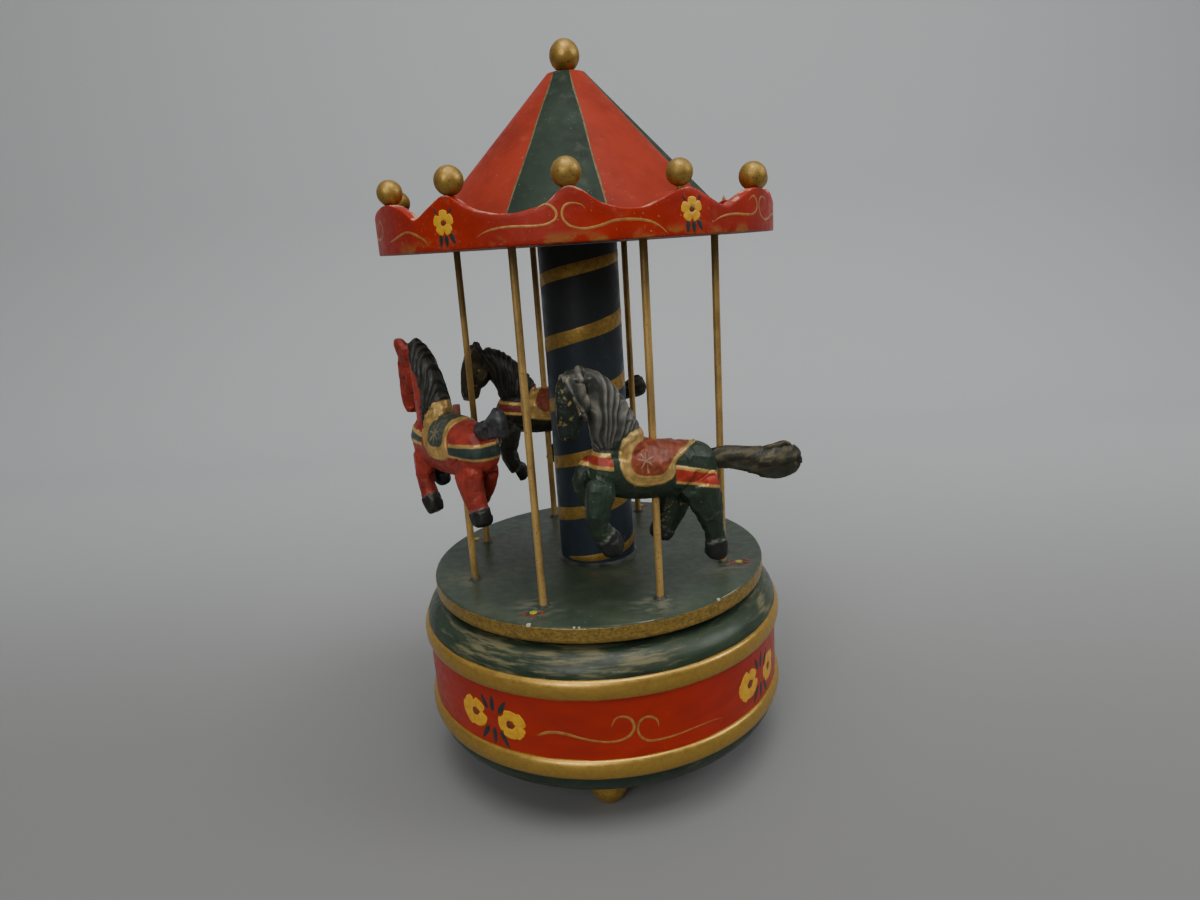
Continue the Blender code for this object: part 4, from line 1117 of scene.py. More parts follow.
def girth(points, horse):
    """How far round the trunk each point is, from its top line (0 degrees) to its belly (180)."""
    rows = np.array(horse["trunk"], float)
    middle_z, depth, width = (np.interp(points[:, 0], rows[:, 0], rows[:, k]) for k in (1, 2, 3))
    aside = np.abs(points[:, 1] - horse["middle"]) / width
    return np.degrees(np.arctan2(aside, (points[:, 2] - middle_z) / depth))


def on_trunk_distance(points, horse, outline):
    """Distance in mm over the trunk's skin to an outline of (x, degrees of girth); negative inside."""
    flat = np.stack([points[:, 0], points[:, 0] * 0, girth(points, horse) * GIRTH_MM], 1)
    rounded = curve_through(np.array(outline) * (1, GIRTH_MM), 70)
    return edge_distance(flat, [tuple(corner) for corner in rounded])


def line_distance(points, path):
    """Distance in mm to a line through places (x, y, z)."""
    nearest = np.full(len(points), 1e9)
    path = np.array(path, float)
    for start, end in zip(path, path[1:]):
        along = end - start
        share = np.clip(((points - start) @ along) / (along @ along + 1e-9), 0, 1)
        nearest = np.minimum(nearest, np.linalg.norm(points - start - share[:, None] * along, axis=1))
    return nearest


def locks(points, pivot, width, wander):
    """Locks cut with a V tool, spread from a pivot: 1 on a ridge and 0 in a cut; and finer lines on them."""
    dx, dz = points[:, 0] - pivot[0], points[:, 2] - pivot[1]
    swing = (np.arctan2(dx, dz) + wander * np.sin(np.hypot(dx, dz) / 9.0)) / width
    swing = swing + 0.25 * np.sin(1.7 * swing + 1.0) + 0.08 * np.sin(4.3 * swing) + 0.55 * grain(points, 8.0)
    share = swing % 1.0
    ridge = np.minimum(share / 0.30, (1 - share) / 0.70)
    fine = np.abs((swing * 2.6 + 0.8 * grain(points, 3.0)) % 1.0 * 2 - 1)
    return ridge, fine


class Coat:
    """The colours of a carved piece, point by point."""

    def __init__(self, points, colour):
        self.colour = np.tile(np.array(colour, float), (len(points), 1))
        self.gilt = np.zeros(len(points))

    def lay(self, mask, colour, gilt=0.0):
        mask = np.clip(mask, 0, 1)[:, None]
        self.colour = self.colour * (1 - mask) + np.array(colour, float) * mask
        self.gilt = self.gilt * (1 - mask[:, 0]) + gilt * mask[:, 0]

    def keep(self, piece):
        layer = piece.data.color_attributes.new(name="coat", type="FLOAT_COLOR", domain="POINT")
        opaque = np.c_[self.colour, np.ones(len(self.colour))]
        layer.data.foreach_set("color", opaque.astype(np.float32).ravel())
        layer = piece.data.attributes.new("gilt", "FLOAT", "POINT")
        layer.data.foreach_set("value", self.gilt.astype(np.float32))


def horse_finish():
    finish = Finish("horse_paint")
    coat = finish.add("ShaderNodeAttribute", attribute_name="coat").outputs["Color"]
    gilt = finish.add("ShaderNodeAttribute", attribute_name="gilt").outputs["Fac"]
    uneven = finish.fade(finish.noise(230, 4), 0.3, 0.7, 0.72, 1.18)
    grey = finish.add("ShaderNodeCombineColor", {0: uneven, 1: uneven, 2: uneven}).outputs[0]
    colour = finish.mix(1.0, coat, grey, "MULTIPLY")
    colour = finish.patches((900, 4), (0.64, 0.74, 0.0, 0.55), colour, HORSE_SPECKS)
    rough = finish.uneven(500, 0.34, 0.52)
    finish.bump(finish.noise(1100, 4), 0.12)
    return finish.done(colour, rough, finish.times(gilt, 0.5))


HORSE_FINISH = horse_finish()
HORSES = {
    "green_horse": dict(
        pole=23.7, belly=128.9, heading=204, coat=(0.020, 0.036, 0.020), head_turn=14, middle=0.0,
        trunk=[(-26.3, 11.6, 3.5, 3.5), (-24.6, 11.2, 7.3, 6.2), (-19.5, 10.4, 9.8, 8.4),
               (-10, 10.4, 11.0, 9.0), (2, 12.2, 11.6, 9.3), (12, 14.0, 11.8, 9.1), (20, 15.8, 10.6, 8.0),
               (25, 17.2, 7.0, 5.6), (26.6, 17.8, 3.2, 3.0)],
        neck=[(12.5, 17, 9.5, 7.4), (14.6, 25, 10.2, 7.0), (16.8, 33, 8.6, 6.2), (19.4, 40, 7.3, 5.6),
              (22.4, 45.8, 5.8, 5.0), (26, 49.2, 4.4, 4.0), (29, 51, 3.6, 3.4)],
        head=[(29.5, 53.0, 3.0, 3.0), (31.4, 49.5, 5.6, 4.6), (33.2, 44.5, 6.2, 5.0),
              (34.2, 39.5, 5.2, 4.4), (34.8, 35.0, 4.5, 3.8), (35.2, 31.5, 4.2, 3.7),
              (35.0, 29.0, 3.0, 2.9)],
        jaw=[(28.4, 45.5, 3.4, 3.8), (29.2, 41, 4.6, 4.9), (31.0, 37, 3.8, 4.3), (33.0, 33, 2.4, 3.2)],
        near_fore=[(23.2, 13, 6.6, 4.4, 4.2), (25.8, 7, 6.0, 4.4, 4.8), (27.0, 1, 5.0, 4.0, 5.2),
                   (27.2, -4, 4.2, 3.6, 5.2), (24.6, -8.5, 4.3, 3.6, 5.2), (22.3, -11.5, 5.0, 4.1, 5.2),
                   (21.7, -14.5, 4.3, 3.7, 5.2), (21.6, -17.0, 2.4, 2.6, 5.2)],
        far_fore=[(20, 16, 5, 4, -4.5), (26.5, 15.5, 4.8, 3.8, -5), (28.6, 11, 4.0, 3.6, -5),
                  (26.4, 5, 3.5, 3.3, -5), (23.5, 0, 3.2, 3.2, -5), (21.0, -3.5, 3.6, 3.4, -5),
                  (19.3, -6.5, 2.2, 2.6, -5)],
        near_hind=[(-15.5, 8, 9.6, 4.8, 4.2), (-18.2, 0, 8.4, 4.8, 4.8), (-20.8, -7, 6.4, 4.4, 5.0),
                   (-22.2, -12.5, 5.2, 4.0, 5.0), (-23.0, -17, 4.3, 3.8, 5.0),
                   (-23.7, -21.5, 4.9, 4.1, 5.0), (-23.8, -25, 4.9, 4.2, 5.0),
                   (-23.0, -28.4, 3.6, 3.6, 5.0)],
        far_hind=[(-15, 8, 9, 4.6, -4.2), (-13.0, -1, 7.8, 4.6, -4.8), (-9.8, -8, 6.4, 4.0, -5),
                  (-6.9, -12.5, 5.4, 3.8, -5), (-4.8, -15.5, 5.4, 3.9, -5), (-3.2, -19.0, 3.8, 3.4, -5)],
        tail=[(-23, 12.2, 2.8, 2.6, 0.5), (-27.0, 12.1, 4.6, 3.3, 1.0), (-34, 11.2, 5.2, 3.6, 2.4),
              (-43, 8.8, 6.4, 3.8, 4.4), (-48.6, 7.2, 7.4, 3.8, 6.0), (-53.4, 7.6, 8.2, 3.6, 7.2),
              (-57.6, 8.4, 8.0, 3.0, 8.2), (-60.4, 9.6, 6.0, 2.2, 8.9), (-61.8, 10.4, 3.2, 1.3, 9.1)],
        hooves=dict(near_fore=3.9, far_fore=4.7, near_hind=4.6, far_hind=3.6),
        mane=[(39, 62), (38.5, 56), (37.5, 53), (35.6, 51), (34.7, 47.6), (33, 44.3), (31.5, 40.3),
              (29.6, 36.3), (27.4, 32), (26.2, 28.8), (25.4, 25.6), (24, 22.8), (22.4, 22.6), (20.3, 22.8),
              (17.9, 26.2), (13.1, 29.4), (8.3, 29.6), (4, 29), (0, 40), (8, 62)],
        pivot=(21.4, 19.0), lock=0.16, wander=0.02, lock_depth=0.6, saddle_colour=(0.20, 0.038, 0.016),
        # The green horse's darker face colour is painted shade.
        rub=(7.9, 65, 0.45), face_colour_and_shade=(0.010, 0.014, 0.010), gold_rub=0.6,
        near_ear=[(27.5, 49.0, 3.4, 2.2, 1.0), (28.4, 52.8, 2.3, 1.8, 1.0), (28.9, 55.0, 0.8, 0.8, 0.8)],
        far_ear=[(27.0, 47.5, 2.4, 1.6, -1.8), (27.4, 50.0, 1.8, 1.3, -1.8), (27.6, 51.4, 0.8, 0.8, -1.8)],
        tail_rub_and_sheen=(0.5, (0.20, 0.152, 0.058)), tail_colour=(0.022, 0.021, 0.014),
        blanket=[(4, -9), (8.3, 16), (13.3, 30), (16.6, 39), (17.5, 61), (17.4, 91), (14.1, 111),
                 (9.4, 116), (3.2, 114), (-1.5, 105), (-4.0, 93), (-4.2, 76), (-5.9, 62), (-10.5, 44),
                 (-18, 8), (-19, -9)],
        saddle=[(2, -9), (5, 10), (7.1, 25), (11.5, 41), (13.5, 61), (13.9, 79), (11.6, 91), (6.9, 94),
                (1.2, 89), (-1.7, 75), (-4.2, 58), (-8.8, 38), (-14.2, 15), (-16, -9)],
        chest=(20.3, 22.4, 0.12, 16.2, 0.15), rump=(-4.4, 14.3, 0.31, 7.1, 0.28),
        strap_colour=(0.34, 0.030, 0.014),
        mane_dust_and_sheen=0.9, mane_colour=(0.030, 0.032, 0.027), ridge_dust_and_sheen=(0.215, 0.205, 0.165),
        marks=[("pale", 0.4, [(35.9, 2.8, 51.5), (33.2, 5.7, 44.3), (30.2, 4.4, 35.8)]),
               ("pale", 0.25, [(13.7, 3.8, 40.8), (8.7, 3.6, 31.4)]),
               ("pale", 0.3, [(32.1, 4.9, 50.8), (25.8, 3.8, 50.2)]),
               ("cut", 0.55, [(31.6, 5.2, 49.5), (26.7, 4.4, 48.8)]),
               ("gold", 0.5, [(34.8, 5.7, 43.0), (35.4, 5.8, 42.4)]),
               ("gold", 0.25, [(32.4, 5.6, 41.5), (30.4, 4.6, 37.2)]),
               ("white", 0.5, [(30.8, 4.8, 38.3)] * 2),
               ("cut", 0.3, [(33.7, 5.5, 34.3), (32.9, 4.9, 31.6)])]),
    "red_horse": dict(
        pole=-68.1, belly=134.5, heading=132, coat=(0.310, 0.034, 0.020), head_turn=-6, middle=2.4,
        trunk=[(-25.0, 14.0, 3.5, 3.5), (-23, 13.8, 8, 6.4), (-17, 13.6, 11.2, 8.8), (-7, 13.4, 12.8, 9.4),
               (4, 13.6, 13.2, 9.6), (14, 13.8, 12.8, 9.0), (21.5, 15, 11, 7.8), (26, 16.5, 7.0, 5.4),
               (27.6, 17, 3.0, 3.0)],
        neck=[(13.0, 18, 9.8, 7.4), (14.0, 26, 10.4, 7.0), (15.4, 34, 9.2, 6.2), (17.4, 42, 8.2, 5.6),
              (20.4, 49, 6.4, 4.8), (24, 53, 4.4, 3.8), (26, 54, 3.6, 3.2)],
        head=[(27.6, 54.2, 3.8, 3.4), (28.8, 50, 6.2, 4.8), (29.9, 44.5, 6.7, 5.0), (31.2, 38, 6.0, 4.7),
              (32.6, 32, 5.2, 4.2), (32.6, 27.0, 4.4, 3.8), (31.4, 23.6, 2.8, 2.9)],
        jaw=[(25.5, 46, 3.4, 3.8), (26.2, 41, 4.8, 4.9), (28.2, 36, 4.0, 4.3), (30.5, 31, 2.6, 3.2)],
        near_fore=[(19.0, 12, 6.6, 4.2, 6.4), (18.8, 4, 5.4, 4.0, 7.0), (19.2, -3, 4.4, 3.8, 7.2),
                   (17.2, -9, 4.2, 3.7, 7.2), (15.2, -12.5, 4.7, 4.0, 7.2), (13.9, -15.8, 3.6, 3.5, 7.2),
                   (13.4, -18.0, 1.6, 2.2, 7.2)],
        far_fore=[(22, 12, 5, 4, -2.0), (25.5, 8, 4.4, 3.7, -2.4), (26.0, 3, 3.8, 3.4, -2.4),
                  (23.8, -2, 3.8, 3.4, -2.4), (21.2, -5.0, 3.9, 3.5, -2.4), (19.4, -8.0, 2.4, 2.8, -2.4)],
        near_hind=[(-13, 10, 9.5, 4.8, 6.2), (-14.5, 2, 8.0, 4.8, 6.8), (-17.0, -4.5, 5.8, 4.4, 7.0),
                   (-19.2, -9.0, 4.6, 4.0, 7.0), (-20.4, -12, 4.8, 4.1, 7.0),
                   (-20.9, -16.2, 4.4, 4.0, 7.0)],
        far_hind=[(-13, 10, 9, 4.6, -1.8), (-12, 2, 7.5, 4.6, -2.4), (-10, -4, 5.4, 4.0, -2.6),
                  (-7, -8, 4.4, 3.7, -2.6), (-4.5, -11.4, 3.9, 3.6, -2.6)],
        tail=[(-18, 22, 2.6, 2.6, 3.0), (-22, 22.8, 3.8, 3.3, 4.2), (-28, 24.2, 4.0, 3.4, 5.6),
              (-34, 26, 4.9, 3.6, 7.0), (-39, 28, 6.4, 3.6, 8.2), (-42.6, 29.4, 6.8, 3.2, 9.0),
              (-45.2, 30.2, 4.4, 2.0, 9.5)],
        hooves=dict(near_fore=3.3, far_fore=2.9, near_hind=3.15, far_hind=2.9),
        mane=[(28, 62), (24.5, 56), (22.8, 53.5), (22.1, 50.2), (20.3, 46.6), (17.8, 44), (15.8, 41.3),
              (14.6, 37.6), (13.4, 34.1), (13.6, 29.3), (13.6, 25.5), (14.6, 21.2), (12.2, 23.5),
              (8.2, 29.5), (6.2, 32.0), (2, 32.4), (-4, 45), (5, 62)],
        near_ear=[(27.0, 47.0, 5.0, 3.2, 4.2), (28.1, 51.5, 4.8, 3.0, 5.2), (29.0, 54.8, 3.9, 2.7, 6.2),
                  (29.1, 57.1, 2.2, 1.7, 6.7)],
        pivot=(17.0, 8.0), lock=0.075, wander=0.05, lock_depth=0.6, saddle_colour=(0.040, 0.055, 0.046),
        rub=(2.0, 60, 0.3), face_colour_and_shade=(0.26, 0.024, 0.012), gold_rub=0.0,
        # The red horse's bluish tail streaks are a painted sheen.
        tail_rub_and_sheen=(0.6, (0.060, 0.068, 0.080)), tail_colour=(0.022, 0.023, 0.026),
        blanket=[(10.8, -9), (10.8, 5), (10.5, 16), (10.3, 28), (12.2, 41), (11.9, 64), (8.9, 89),
                 (4.3, 108), (-3, 109), (-8.1, 98), (-7.6, 81), (-6.4, 65), (-7.0, 46), (-8.8, 21),
                 (-9.5, -9)],
        saddle=[(3.6, -9), (4.4, 17), (5.4, 37), (6.6, 57), (6.3, 74), (3.2, 84), (-2.4, 82), (-4.6, 72),
                (-4.1, 57), (-4.0, 40), (-5.6, 15), (-6.2, -9)],
        chest=(11.8, 18.9, 0.10, 13.6, 0.0), rump=(-8.2, 17.0, -0.05, 11.6, 0.04),
        strap_colour=(0.030, 0.048, 0.040),
        mane_dust_and_sheen=0.55, mane_colour=(0.018, 0.019, 0.017), ridge_dust_and_sheen=(0.098, 0.090, 0.064),
        marks=[("black", 0.9, [(29.0, 6.1, 40.1)] * 2), ("white", 0.55, [(21.3, 7.6, 41.1)] * 2)]),
    "black_horse": dict(
        pole=-158.2, belly=132.7, heading=190, coat=(0.024, 0.024, 0.016), head_turn=4, middle=0.0,
        trunk=[(-27.0, 13.0, 3.5, 3.5), (-25, 13, 8, 6.2), (-19, 12.6, 10.6, 8.6), (-9, 12, 11.4, 9.2),
               (2, 12.4, 11.6, 9.4), (11, 12.8, 11.6, 9.0), (18.6, 14, 10.6, 7.8), (23.2, 15.2, 7.2, 5.6),
               (24.9, 16, 3.4, 3.2)],
        neck=[(11.6, 16, 10.4, 7.4), (14.0, 24, 9.8, 6.6), (16.8, 30.5, 8.2, 5.8), (21.6, 36.2, 7.8, 5.2),
              (26.4, 40.4, 6.4, 4.6), (30.5, 43.0, 4.8, 4.0)],
        head=[(32.3, 48.5, 2.6, 2.8), (32.8, 45, 4.6, 4.2), (33.6, 39, 6.2, 5.0), (35.0, 33, 6.0, 4.6),
              (36.4, 27.5, 5.0, 4.1), (36.8, 23.5, 4.9, 4.0), (36.6, 20.8, 3.8, 3.2)],
        jaw=[(28.8, 41, 3.8, 4.0), (29.2, 36, 5.0, 4.9), (31.0, 31, 4.4, 4.3), (33.6, 27, 3.0, 3.3)],
        near_fore=[(18, 9, 6.0, 4.4, 4.2), (19.6, 1, 5.2, 4.2, 5.0), (21.4, -6.5, 4.8, 3.9, 5.2),
                   (19.6, -12, 4.3, 3.7, 5.2), (16.4, -16.5, 4.4, 3.8, 5.2), (14.4, -21.5, 2.4, 3.0, 5.2)],
        far_fore=[(18, 12, 5, 4, -4.5), (22, 8, 4.2, 3.6, -5), (23, 1, 3.5, 3.2, -5),
                  (21.5, -5, 3.2, 3.0, -5), (19.5, -9, 3.4, 3.2, -5), (18, -12.4, 2.2, 2.6, -5)],
        near_hind=[(-16, 9, 9.5, 4.8, 4.2), (-18, 1, 8.0, 4.6, 4.8), (-20, -7, 5.6, 4.2, 5.0),
                   (-21, -13, 4.4, 3.9, 5.0), (-21.5, -18, 4.6, 4.0, 5.0), (-21.5, -22.6, 4.0, 3.8, 5.0)],
        far_hind=[(-15, 8, 9, 4.6, -4.2), (-13, 0, 7.0, 4.6, -4.8), (-9.5, -6, 5.0, 4.0, -5),
                  (-5.5, -10, 4.2, 3.7, -5), (-2.5, -13, 3.8, 3.6, -5), (0, -15.5, 2.6, 2.8, -5)],
        tail=[(-24, 14, 2.8, 2.6, 0.5), (-28, 14.5, 4.1, 3.3, 0), (-35, 16, 4.3, 3.4, 0),
              (-43, 18.5, 5.4, 3.6, 0), (-49, 20.5, 6.4, 3.6, 0), (-52.6, 21.6, 4.6, 2.4, 0)],
        hooves=dict(near_fore=3.7, far_fore=3.7, near_hind=3.6, far_hind=3.6),
        mane=[(36, 62), (34.6, 48), (32.2, 45.1), (29.3, 40.9), (27.6, 36), (26.5, 31), (24.5, 26),
              (22, 20), (17, 19.7), (13.5, 21.8), (9, 24), (4, 26), (0, 28), (0, 62)],
        pivot=(19.0, 8.0), lock=0.085, wander=0.05, lock_depth=0.65, saddle_colour=(0.17, 0.035, 0.018),
        rub=(0.0, 60, 0.0), face_colour_and_shade=(0.036, 0.030, 0.014), gold_rub=0.2,
        near_ear=[(30.4, 43.5, 2.8, 1.9, 1.6), (31.6, 47.2, 2.2, 1.6, 1.8), (32.6, 50.0, 0.8, 0.7, 1.8)],
        far_ear=[(30.4, 43.0, 2.4, 1.6, -1.8), (31.2, 46.5, 1.8, 1.4, -2.0), (31.8, 48.6, 0.7, 0.7, -2.0)],
        tail_rub_and_sheen=(0.4, (0.060, 0.052, 0.030)), tail_colour=(0.014, 0.014, 0.012),
        blanket=[(6, -9), (7.6, 31), (12.5, 48), (12.9, 72), (12.4, 97), (4.7, 108), (-3, 110), (-9, 97),
                 (-11, 60), (-14, 20), (-15, -9)],
        saddle=[(2, -9), (2.6, 14), (4.8, 44), (5.7, 68), (2.2, 86), (-4, 84), (-7.5, 72), (-9, 50),
                (-11.5, 20), (-12.5, -9)],
        chest=(12.8, 18.6, 0.12, 12.1, 0.12), rump=(-9, 13.4, 0.05, 7.0, 0.05),
        strap_colour=(0.22, 0.030, 0.016),
        mane_dust_and_sheen=0.55, mane_colour=(0.012, 0.012, 0.010), ridge_dust_and_sheen=(0.090, 0.076, 0.040),
        marks=[("brown", 2.6, [(33.5, 4.0, 37.5), (30.5, 4.4, 33.0)]),
               ("black", 0.7, [(32.9, 4.0, 34.6)] * 2),
               ("white", 0.4, [(31.7, 4.2, 35.8)] * 2)]),
}
PLAIN_EAR = [(-3.0, -2.0, 2.2, 1.5, 2.0), (-2.0, 2.5, 2.3, 1.5, 3.0), (-1.2, 5.2, 1.4, 1.0, 3.7),
             (-0.8, 6.6, 0.4, 0.4, 3.8)]
CORE = ("trunk", "neck", "head", "jaw")
LEGS = ("near_fore", "far_fore", "near_hind", "far_hind")
for horse in HORSES.values():
    for part in CORE:
        horse[part] = [(*station, horse["middle"]) for station in horse[part]]


def ears(horse):
    """Two short ears that lean out from the top of the head; each can have its own shape."""
    (x, z), middle = horse["head"][1][:2], horse["middle"]
    made = []
    for key, side in (("near_ear", 1), ("far_ear", -1)):
        plain = [(x + dx, z + dz, depth, width, middle + side * out)
                 for dx, dz, depth, width, out in PLAIN_EAR]
        made.append(rough_out(horse.get(key, plain), 12))
    return made


def poll(horse):
    """Where the head turns, a little behind its top."""
    return horse["head"][0][0] - 2


def turn_head(points, share, horse, degrees):
    """Turns the head's points about an upright line at the poll, towards the horse's left."""
    pivot_x, middle = poll(horse), horse["middle"]
    swing = math.radians(degrees) * share
    dx, dy = points[:, 0] - pivot_x, points[:, 1] - middle
    points[:, 0] = pivot_x + dx * np.cos(swing) - dy * np.sin(swing)
    points[:, 1] = middle + dx * np.sin(swing) + dy * np.cos(swing)


def band_between(points, edge, top, bottom, inset, wob):
    """A strap: 1 between slanting levels (height, slope), before an edge x (side 1) or behind it (-1)."""
    (edge_x, side), (top_z, top_slope), (bottom_z, bottom_slope) = edge, top, bottom
    off = points[:, 0] - edge_x
    mask = cover(points[:, 2] - top_z + inset - off * top_slope + wob * 0.4, 0.4)
    mask *= cover(bottom_z + inset * 0.9 + off * bottom_slope - points[:, 2], 0.4)
    return mask * cover(-side * off, 0.4)


TRUNK_REACH = 1.45
LEG_REACH = 1.35
BLANKET_PROUD, SADDLE_PROUD, STRAPS_PROUD, HOOVES_PROUD = 0.30, 0.22, 0.28, 0.32
BLANKET_PIPING, SADDLE_PIPING = 0.24, 0.20
STRAP_BORDERS = {"chest": 1.6, "rump": 1.25}
HOOF_CUTS = (((-0.50, 0.0, -0.866), 0.90), ((0.92, 0.0, -0.39), 0.86), ((0.1, 0.90, -0.42), 0.95))


def pare_hoof(points, on_leg, on_hoof, centre, depth):
    """Flat cuts for a hoof's sole, front and outer side, that meet in a short pointed toe."""
    chosen = on_leg & on_hoof
    middle = np.array([centre[0], points[chosen][:, 1].mean(), centre[1]])
    for facing, out in HOOF_CUTS:
        above = (points - middle) @ np.array(facing) - out * depth
        cut = chosen & (above > 0)
        points[cut] -= np.array(facing) * above[cut, None]


def carve_horse(name, horse):
    limbs = [rough_out(horse[part]) for part in (*CORE, *LEGS)] + ears(horse)
    body = carve_whole(name + "_carving", limbs, 4)
    points = points_of(body)
    reach = {part: along_limb(points, horse[part]) for part in (*CORE, *LEGS)}
    on_head = np.minimum(reach["head"][0], reach["jaw"][0]) + 0.04 < reach["neck"][0]
    turn_share = cover(poll(horse) - points[:, 0], 5.0) * cover(22 - points[:, 2], 4.0)
    turn_head(points, turn_share * np.clip(on_head + turn_share, 0, 1), horse, horse["head_turn"])
    put_points(body, points)
    normals = normals_of(body)
    wob = hand_wobble(points, 0.25)

    # The mane: raised over the neck and the poll, and cut in locks; the rest is left in flat knife cuts
    mane = cover(edge_distance(points, horse["mane"]) + wob * 1.6, 0.5)
    whittle(points, normals, mane < 0.3, KNIFE_CUTS, 0.1 * len(name))
    ridge, fine = locks(points, horse["pivot"], horse["lock"], horse["wander"])
    cut = horse["lock_depth"] * (1 - ridge) ** 1.3 + 0.16 * (1 - fine)
    relief = mane * (horse["lock_depth"] * 0.9 - cut)

    # Blanket, saddle and straps stand a little proud, each with a raised outline
    on_trunk = (reach["trunk"][0] < TRUNK_REACH) & (points[:, 2] > 4)
    blanket_edge = on_trunk_distance(points, horse, horse["blanket"]) + wob * 0.6
    saddle_edge = on_trunk_distance(points, horse, horse["saddle"]) + wob * 0.6
    bare = (1 - mane) * on_trunk
    blanket = cover(blanket_edge, 0.4) * bare
    saddle = cover(saddle_edge, 0.4) * bare
    relief += BLANKET_PROUD * blanket + SADDLE_PROUD * saddle
    relief += BLANKET_PIPING * cover(np.abs(blanket_edge + 0.75) - 0.35, 0.4) * bare
    relief += SADDLE_PIPING * cover(np.abs(saddle_edge - 0.45) - 0.28, 0.4) * bare
    (chest, inner_chest), (rump, inner_rump) = (
        [band_between(points, (horse[strap][0], side), horse[strap][1:3], horse[strap][3:5], inset, wob)
         for inset in (0.0, STRAP_BORDERS[strap])] for strap, side in (("chest", 1), ("rump", -1)))
    straps = np.maximum(chest, rump) * (1 - mane) * (1 - blanket)
    relief += STRAPS_PROUD * straps

    # Hooves: a step above each
    hoof, hoof_top = np.zeros(len(points)), np.zeros(len(points))
    for leg in LEGS:
        distance, place = reach[leg]
        on_leg, above = distance < LEG_REACH, horse["hooves"][leg] - place
        hoof_top = np.maximum(hoof_top, cover(np.abs(above + wob * 0.3) - 0.16, 0.12) * on_leg)
        hoof = np.maximum(hoof, cover(above + wob * 0.1, 0.08) * on_leg)
        centre_x, centre_z, depth = horse[leg][min(round(horse["hooves"][leg]) + 1, len(horse[leg]) - 1)][:3]
        pare_hoof(points, on_leg, hoof > 0.2, (centre_x, centre_z), depth)
    relief += HOOVES_PROUD * hoof
    relief += hand_wobble(points, 0.10, 9.0)
    points += normals * relief[:, None]

    # The face: small cuts, and dabs of paint
    put_points(body, points)
    normals = normals_of(body)
    marks = [(kind, width, line_distance(points, path) + wob * 0.3) for kind, width, path in horse["marks"]]
    marks += [(kind, width, line_distance(points, across_head(path, horse)) + wob * 0.3)
              for kind, width, path in horse["marks"]]
    for kind, width, apart in marks:
        points += normals * (MARK_RELIEF[kind] * cover(apart - width, 0.5))[:, None]
    put_points(body, points)

    # The coat
    paint = HORSE_PAINT
    coat = Coat(points, horse["coat"])
    # The coat is painted darker towards the bottom: the belly's underside and the legs.
    coat.lay(0.4 * cover(points[:, 2] - 2 + 4 * wob, 5.0), tuple(0.55 * c for c in horse["coat"]))
    # The head takes its own colour; on the green horse this darker face is painted shade.
    coat.lay(on_head * cover(22 - points[:, 2], 6.0) * 0.85, horse["face_colour_and_shade"])
    coat.lay(straps, paint["gold"], 1.0)
    coat.lay(np.maximum(inner_chest, inner_rump) * (1 - mane) * (1 - blanket), horse["strap_colour"])
    coat.lay(blanket, paint["gold"], 1.0)
    patchy = grain(points, 2.6)
    coat.lay(blanket * cover(-patchy - 0.15, 0.6) * 0.5, tuple(0.5 * c for c in paint["gold"]), 0.6)
    coat.lay(cover(np.abs(blanket_edge + 1.3) - 0.12, 0.4) * blanket * 0.5, paint["line"])
    # Painted highlight: a cream line where the blanket's raised outline catches the light.
    coat.lay(cover(np.abs(blanket_edge + 0.65) - 0.15, 0.4) * blanket * cover(0.1 - patchy, 0.5) * 0.6,
             paint["cream"], 0.7)
    coat.lay(saddle, horse["saddle_colour"])
    along, down = points[:, 0] - horse["rub"][0], (girth(points, horse) - horse["rub"][1]) * GIRTH_MM
    rays = np.clip(np.cos(7 * np.arctan2(down, along) + 0.6), 0, 1) ** 2
    star = 0.7 + 2.6 * rays + 1.6 * patchy
    coat.lay(horse["rub"][2] * cover(np.hypot(along, down) - star, 1.0) * saddle, paint["cream"])
    coat.lay(0.09 * cover(0.2 - grain(points, 1.3), 0.5) * saddle, paint["gold"], 0.3)
    coat.lay(mane, horse["mane_colour"])
    # Mane ridges: dust and a painted sheen, paler towards the top.
    paler_up = 0.45 + 0.55 * np.clip((points[:, 2] - 24) / 16, 0, 1)
    paler = (0.75 + 0.25 * fine) * paler_up * (0.85 + 0.5 * patchy)
    coat.lay(mane * np.clip(ridge * 1.9 - 0.55, 0, 1) * paler * horse["mane_dust_and_sheen"], horse["ridge_dust_and_sheen"])
    coat.lay(hoof, paint["black"])
    # Pale wear and a painted highlight on the step above each hoof.
    coat.lay(hoof_top * 0.5 * cover(-hand_wobble(points, 1.0, 3.0), 1.0), paint["dust_and_highlight"])
    flecks = cover(0.30 - grain(points, 0.85), 0.2) * cover(0.12 - grain(points, 5.0), 0.25)
    low_far_hind = cover(reach["far_hind"][0] - 1.25, 0.2) * cover(points[:, 2] + 3, 4.0)
    rubbed = np.maximum(on_head, low_far_hind) * (1 - hoof)
    coat.lay(flecks * rubbed * horse["gold_rub"], FLECK_GOLD, 0.4)
    for kind, width, apart in marks:
        coat.lay(MARK_STRENGTH[kind] * cover(apart - width, 0.35 if width < 1 else 1.1), paint[kind],
                 float(kind == "gold") * 0.6)
    coat.keep(body)
    return body


def across_head(path, horse):
    """The same line on the other side of the turned head."""
    path = np.array(path, float)
    turn_head(path, 1.0, horse, -horse["head_turn"])
    path[:, 1] = 2 * horse["middle"] - path[:, 1]
    turn_head(path, 1.0, horse, horse["head_turn"])
    return path


